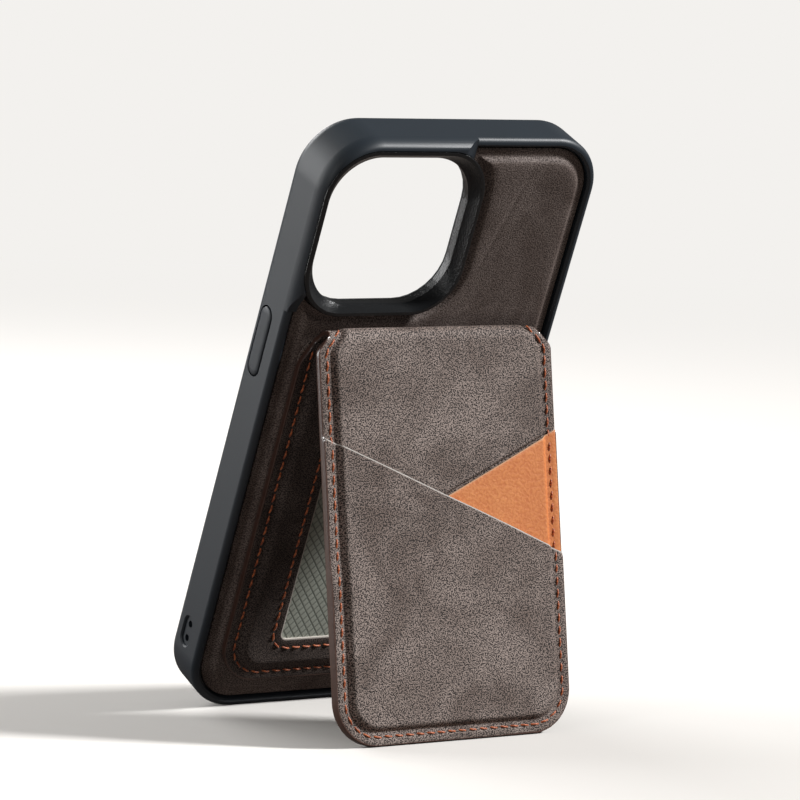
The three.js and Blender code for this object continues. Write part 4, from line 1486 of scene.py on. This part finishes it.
def stitch_thread():
    """Twisted polyester thread: copper, with a silky sheen and a fine diagonal ply."""
    material, tree = new_material("copper_polyester_thread")
    place = add(tree, "ShaderNodeTexCoord")
    ply = add(tree, "ShaderNodeTexWave", {
        "Scale": 1 / (1.6 * MM), "Distortion": 1.0, "bands_direction": "DIAGONAL",
    }, {"Vector": place.outputs["Object"]})
    shade = add(tree, "ShaderNodeMixRGB", {
        "Color1": linear("#8d3c16"), "Color2": linear("#cf6e36"),
    }, {"Fac": ply.outputs["Fac"]})
    bump = add(tree, "ShaderNodeBump", {"Strength": 0.4, "Distance": 0.05 * MM}, {
        "Height": ply.outputs["Fac"],
    })
    finish_material(tree, {"Roughness": 0.45, "Sheen Weight": 0.3}, {
        "Base Color": shade.outputs["Color"],
        "Normal": bump.outputs["Normal"],
    })
    return material


def stitch_tree():
    """Geometry Nodes: lays one bent stitch at each pitch along a seam line."""
    tree = bpy.data.node_groups.new("stitch_row", "GeometryNodeTree")
    tree.interface.new_socket("Geometry", in_out="OUTPUT", socket_type="NodeSocketGeometry")
    tree.interface.new_socket("Geometry", in_out="INPUT", socket_type="NodeSocketGeometry")
    for name in ("Pitch", "Length", "Thickness", "Rise", "Slant"):
        tree.interface.new_socket(name, in_out="INPUT", socket_type="NodeSocketFloat")
    tree.interface.new_socket("Facing", in_out="INPUT", socket_type="NodeSocketVector")
    tree.interface.new_socket("Thread", in_out="INPUT", socket_type="NodeSocketMaterial")
    given = add(tree, "NodeGroupInput").outputs
    seam = add(tree, "GeometryNodeMeshToCurve", links={"Mesh": given["Geometry"]})
    spaced = add(tree, "GeometryNodeResampleCurve", {"mode": "LENGTH"}, {
        "Curve": seam.outputs["Curve"], "Length": given["Pitch"],
    })
    half = add(tree, "ShaderNodeMath", {"operation": "MULTIPLY", 1: 0.5}, {0: given["Length"]})
    back_half = add(tree, "ShaderNodeMath", {"operation": "MULTIPLY", 1: -0.5}, {0: given["Length"]})
    sunk = add(tree, "ShaderNodeMath", {"operation": "MULTIPLY", 1: -0.6}, {0: given["Thickness"]})
    high = add(tree, "ShaderNodeMath", {"operation": "MULTIPLY", 1: 2.0}, {0: given["Rise"]})
    start = add(tree, "ShaderNodeCombineXYZ", links={"X": back_half.outputs[0], "Z": sunk.outputs[0]})
    top = add(tree, "ShaderNodeCombineXYZ", links={"Z": high.outputs[0]})
    end = add(tree, "ShaderNodeCombineXYZ", links={"X": half.outputs[0], "Z": sunk.outputs[0]})
    arc = add(tree, "GeometryNodeCurveQuadraticBezier", {"Resolution": 8}, {
        "Start": start.outputs[0], "Middle": top.outputs[0], "End": end.outputs[0],
    })
    radius = add(tree, "ShaderNodeMath", {"operation": "MULTIPLY", 1: 0.5}, {0: given["Thickness"]})
    section = add(tree, "GeometryNodeCurvePrimitiveCircle", {"Resolution": 8}, {
        "Radius": radius.outputs[0],
    })
    stitch = add(tree, "GeometryNodeCurveToMesh", {"Fill Caps": True}, {
        "Curve": arc.outputs["Curve"], "Profile Curve": section.outputs["Curve"],
    })
    tangent = add(tree, "GeometryNodeInputTangent")
    headed = add(tree, "FunctionNodeAlignRotationToVector", {"axis": "X"}, {
        "Vector": tangent.outputs[0],
    })
    upright = add(tree, "FunctionNodeAlignRotationToVector", {"axis": "Z", "pivot_axis": "X"}, {
        "Rotation": headed.outputs[0], "Vector": given["Facing"],
    })
    slanted = add(tree, "ShaderNodeCombineXYZ", links={"Z": given["Slant"]})
    turn = add(tree, "FunctionNodeEulerToRotation", links={0: slanted.outputs[0]})
    laid = add(tree, "FunctionNodeRotateRotation", {"rotation_space": "LOCAL"}, {
        0: upright.outputs[0], 1: turn.outputs[0],
    })
    row = add(tree, "GeometryNodeInstanceOnPoints", links={
        "Points": spaced.outputs["Curve"], "Instance": stitch.outputs["Mesh"],
        "Rotation": laid.outputs[0],
    })
    real = add(tree, "GeometryNodeRealizeInstances", links={"Geometry": row.outputs["Instances"]})
    coloured = add(tree, "GeometryNodeSetMaterial", links={
        "Geometry": real.outputs["Geometry"], "Material": given["Thread"],
    })
    add(tree, "NodeGroupOutput", links={"Geometry": coloured.outputs["Geometry"]})
    return tree


thread = stitch_thread()
stitching = stitch_tree()


def stitch_row(name, body, lines, facing):
    """A row of stitches along lines of points in the row frame, as one mesh on its body."""
    points, edges = [], []
    for line in lines:
        first = len(points)
        points += [tuple(p) for p in line]
        edges += [(first + i, first + i + 1) for i in range(len(line) - 1)]
    mesh = bpy.data.meshes.new(name)
    mesh.from_pydata(points, edges, [])
    row = put(name, mesh)
    sewn = row.modifiers.new("stitches", "NODES")
    sewn.node_group = stitching
    sizes = {
        "Pitch": STITCH_PITCH * MM,
        "Length": STITCH_LENGTH * MM,
        "Thickness": STITCH_THICKNESS * MM,
        "Rise": STITCH_RISE * MM,
        "Slant": STITCH_SLANT,
        "Facing": tuple(facing),
        "Thread": thread,
    }
    for socket in stitching.interface.items_tree:
        if socket.in_out == "INPUT" and socket.name in sizes:
            sewn[socket.identifier] = sizes[socket.name]
    row.update_tag()
    settled(row).data.shade_smooth()
    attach(row, body)


def sewn_level(points):
    """Level of the outermost layer along the strut's seam."""
    return np.maximum(paint_top(points), 0) - 0.05


strut_front = (STRUT.to_3x3() @ Vector((0, 0, 1))).normalized()
case_back = (CASE.to_3x3() @ Vector((0, 0, 1))).normalized()
strut_seam = strut_edge(SEAM_INSET, -0.4, 0.5)
seam_front = on_wallet(strut_seam[:, 0], strut_seam[:, 1], sewn_level(strut_seam))
stitch_row("strut_stitches", "strut", [seam_front], strut_front)
seam_rear = on_wallet(strut_seam[:, 0], strut_seam[:, 1], LINING_LOW - SEAM_LEVEL + 0.05)
stitch_row("strut_rear_stitches", "strut", [seam_rear], -strut_front)

seam_plan = frame_box(
    -PANEL_WIDTH / 2 + FACING_SEAM,
    PANEL_WIDTH / 2 - FACING_SEAM,
    PANEL_BOTTOM + 2.2,
    PANEL_TOP - 0.6,
    PANEL_FOOT_CORNER - 2.2,
    PANEL_HEAD_CORNER - FACING_SEAM,
)
panel_loop = outline(seam_plan, 16, 0.5)
panel_seam = panel_loop[panel_loop[:, 1] < PANEL_TOP - 3.5]
turn_at = int(np.argmax(np.linalg.norm(np.diff(panel_seam, axis=0), axis=1))) + 1
panel_seam = np.roll(panel_seam, -turn_at, axis=0)
window_seam = outline(grown(WINDOW, FACING_SEAM), 12, 0.5)
window_seam = np.concatenate([window_seam, window_seam[:1]])
panel_lines = [
    on_case(line[:, 0], line[:, 1], facing_top(line) + 0.05)
    for line in (panel_seam, window_seam)
]
stitch_row("panel_stitches", "case", panel_lines, case_back)

# Hidden layers and magnets
# The card boards, the leather that backs the wallet, the nickel-plated magnets, the strike plate
# and the microfibre lining of the cavity keep their CAD shapes and get their own finishes.


def nickel_plate():
    """Nickel-plated steel and magnet: bright, slightly brushed."""
    material, tree = new_material("nickel_plating")
    place = add(tree, "ShaderNodeTexCoord")
    brush = add(tree, "ShaderNodeTexNoise", {"Scale": 1 / (0.5 * MM), "Detail": 2.0}, {
        "Vector": place.outputs["Object"],
    })
    rough = add(tree, "ShaderNodeMapRange", {"To Min": 0.25, "To Max": 0.4}, {
        "Value": brush.outputs["Fac"],
    })
    finish_material(tree, {"Base Color": linear("#a9adb2"), "Metallic": 1.0}, {
        "Roughness": rough.outputs[0],
    })
    return material


def microfibre():
    """Brushed microfibre cloth: near black, soft, with a short nap that lies in streaks."""
    material, tree = new_material("brushed_microfibre")
    place = add(tree, "ShaderNodeTexCoord")
    nap = add(tree, "ShaderNodeTexNoise", {"Scale": 1 / (0.6 * MM), "Detail": 4.0}, {
        "Vector": place.outputs["Object"],
    })
    lay = add(tree, "ShaderNodeTexNoise", {"Scale": 1 / (22 * MM), "Detail": 3.0}, {
        "Vector": place.outputs["Object"],
    })
    fine = add(tree, "ShaderNodeMixRGB", {
        "Color1": linear("#1c1e21"), "Color2": linear("#34373b"),
    }, {"Fac": nap.outputs["Fac"]})
    shade = add(tree, "ShaderNodeMixRGB", {"blend_type": "MULTIPLY", "Fac": 0.5}, {
        "Color1": fine.outputs["Color"], "Color2": lay.outputs["Fac"],
    })
    bump = add(tree, "ShaderNodeBump", {"Strength": 0.5, "Distance": 0.08 * MM}, {
        "Height": nap.outputs["Fac"],
    })
    finish_material(tree, {"Roughness": 0.95, "Sheen Weight": 0.4, "Sheen Roughness": 0.4}, {
        "Base Color": shade.outputs["Color"],
        "Normal": bump.outputs["Normal"],
    })
    return material


# Pressed card board: grey-brown fibre, matt.
board = mottled("pressed_greyboard", 0.8, 5.0, "#5b554d", "#7b746a", {"Roughness": 0.95})
nickel, cloth = nickel_plate(), microfibre()
backing_leather = leather("wallet_backing_leather", "#2d2624", "#ab9c94", "#c4bdb9", coords="Object")
HIDDEN = {
    "wallet_base_board": board,
    "strut_board": board,
    "wallet_backing": backing_leather,
    "case_magnet_ring": nickel,
    "case_alignment_magnet": nickel,
    "wallet_magnet_ring": nickel,
    "wallet_alignment_magnet": nickel,
    "closure_strike": nickel,
    "closure_magnet": nickel,
    "inner_lining": cloth,
}
for node, finish in HIDDEN.items():
    frame["nodes"][node].data.materials.clear()
    frame["nodes"][node].data.materials.append(finish)
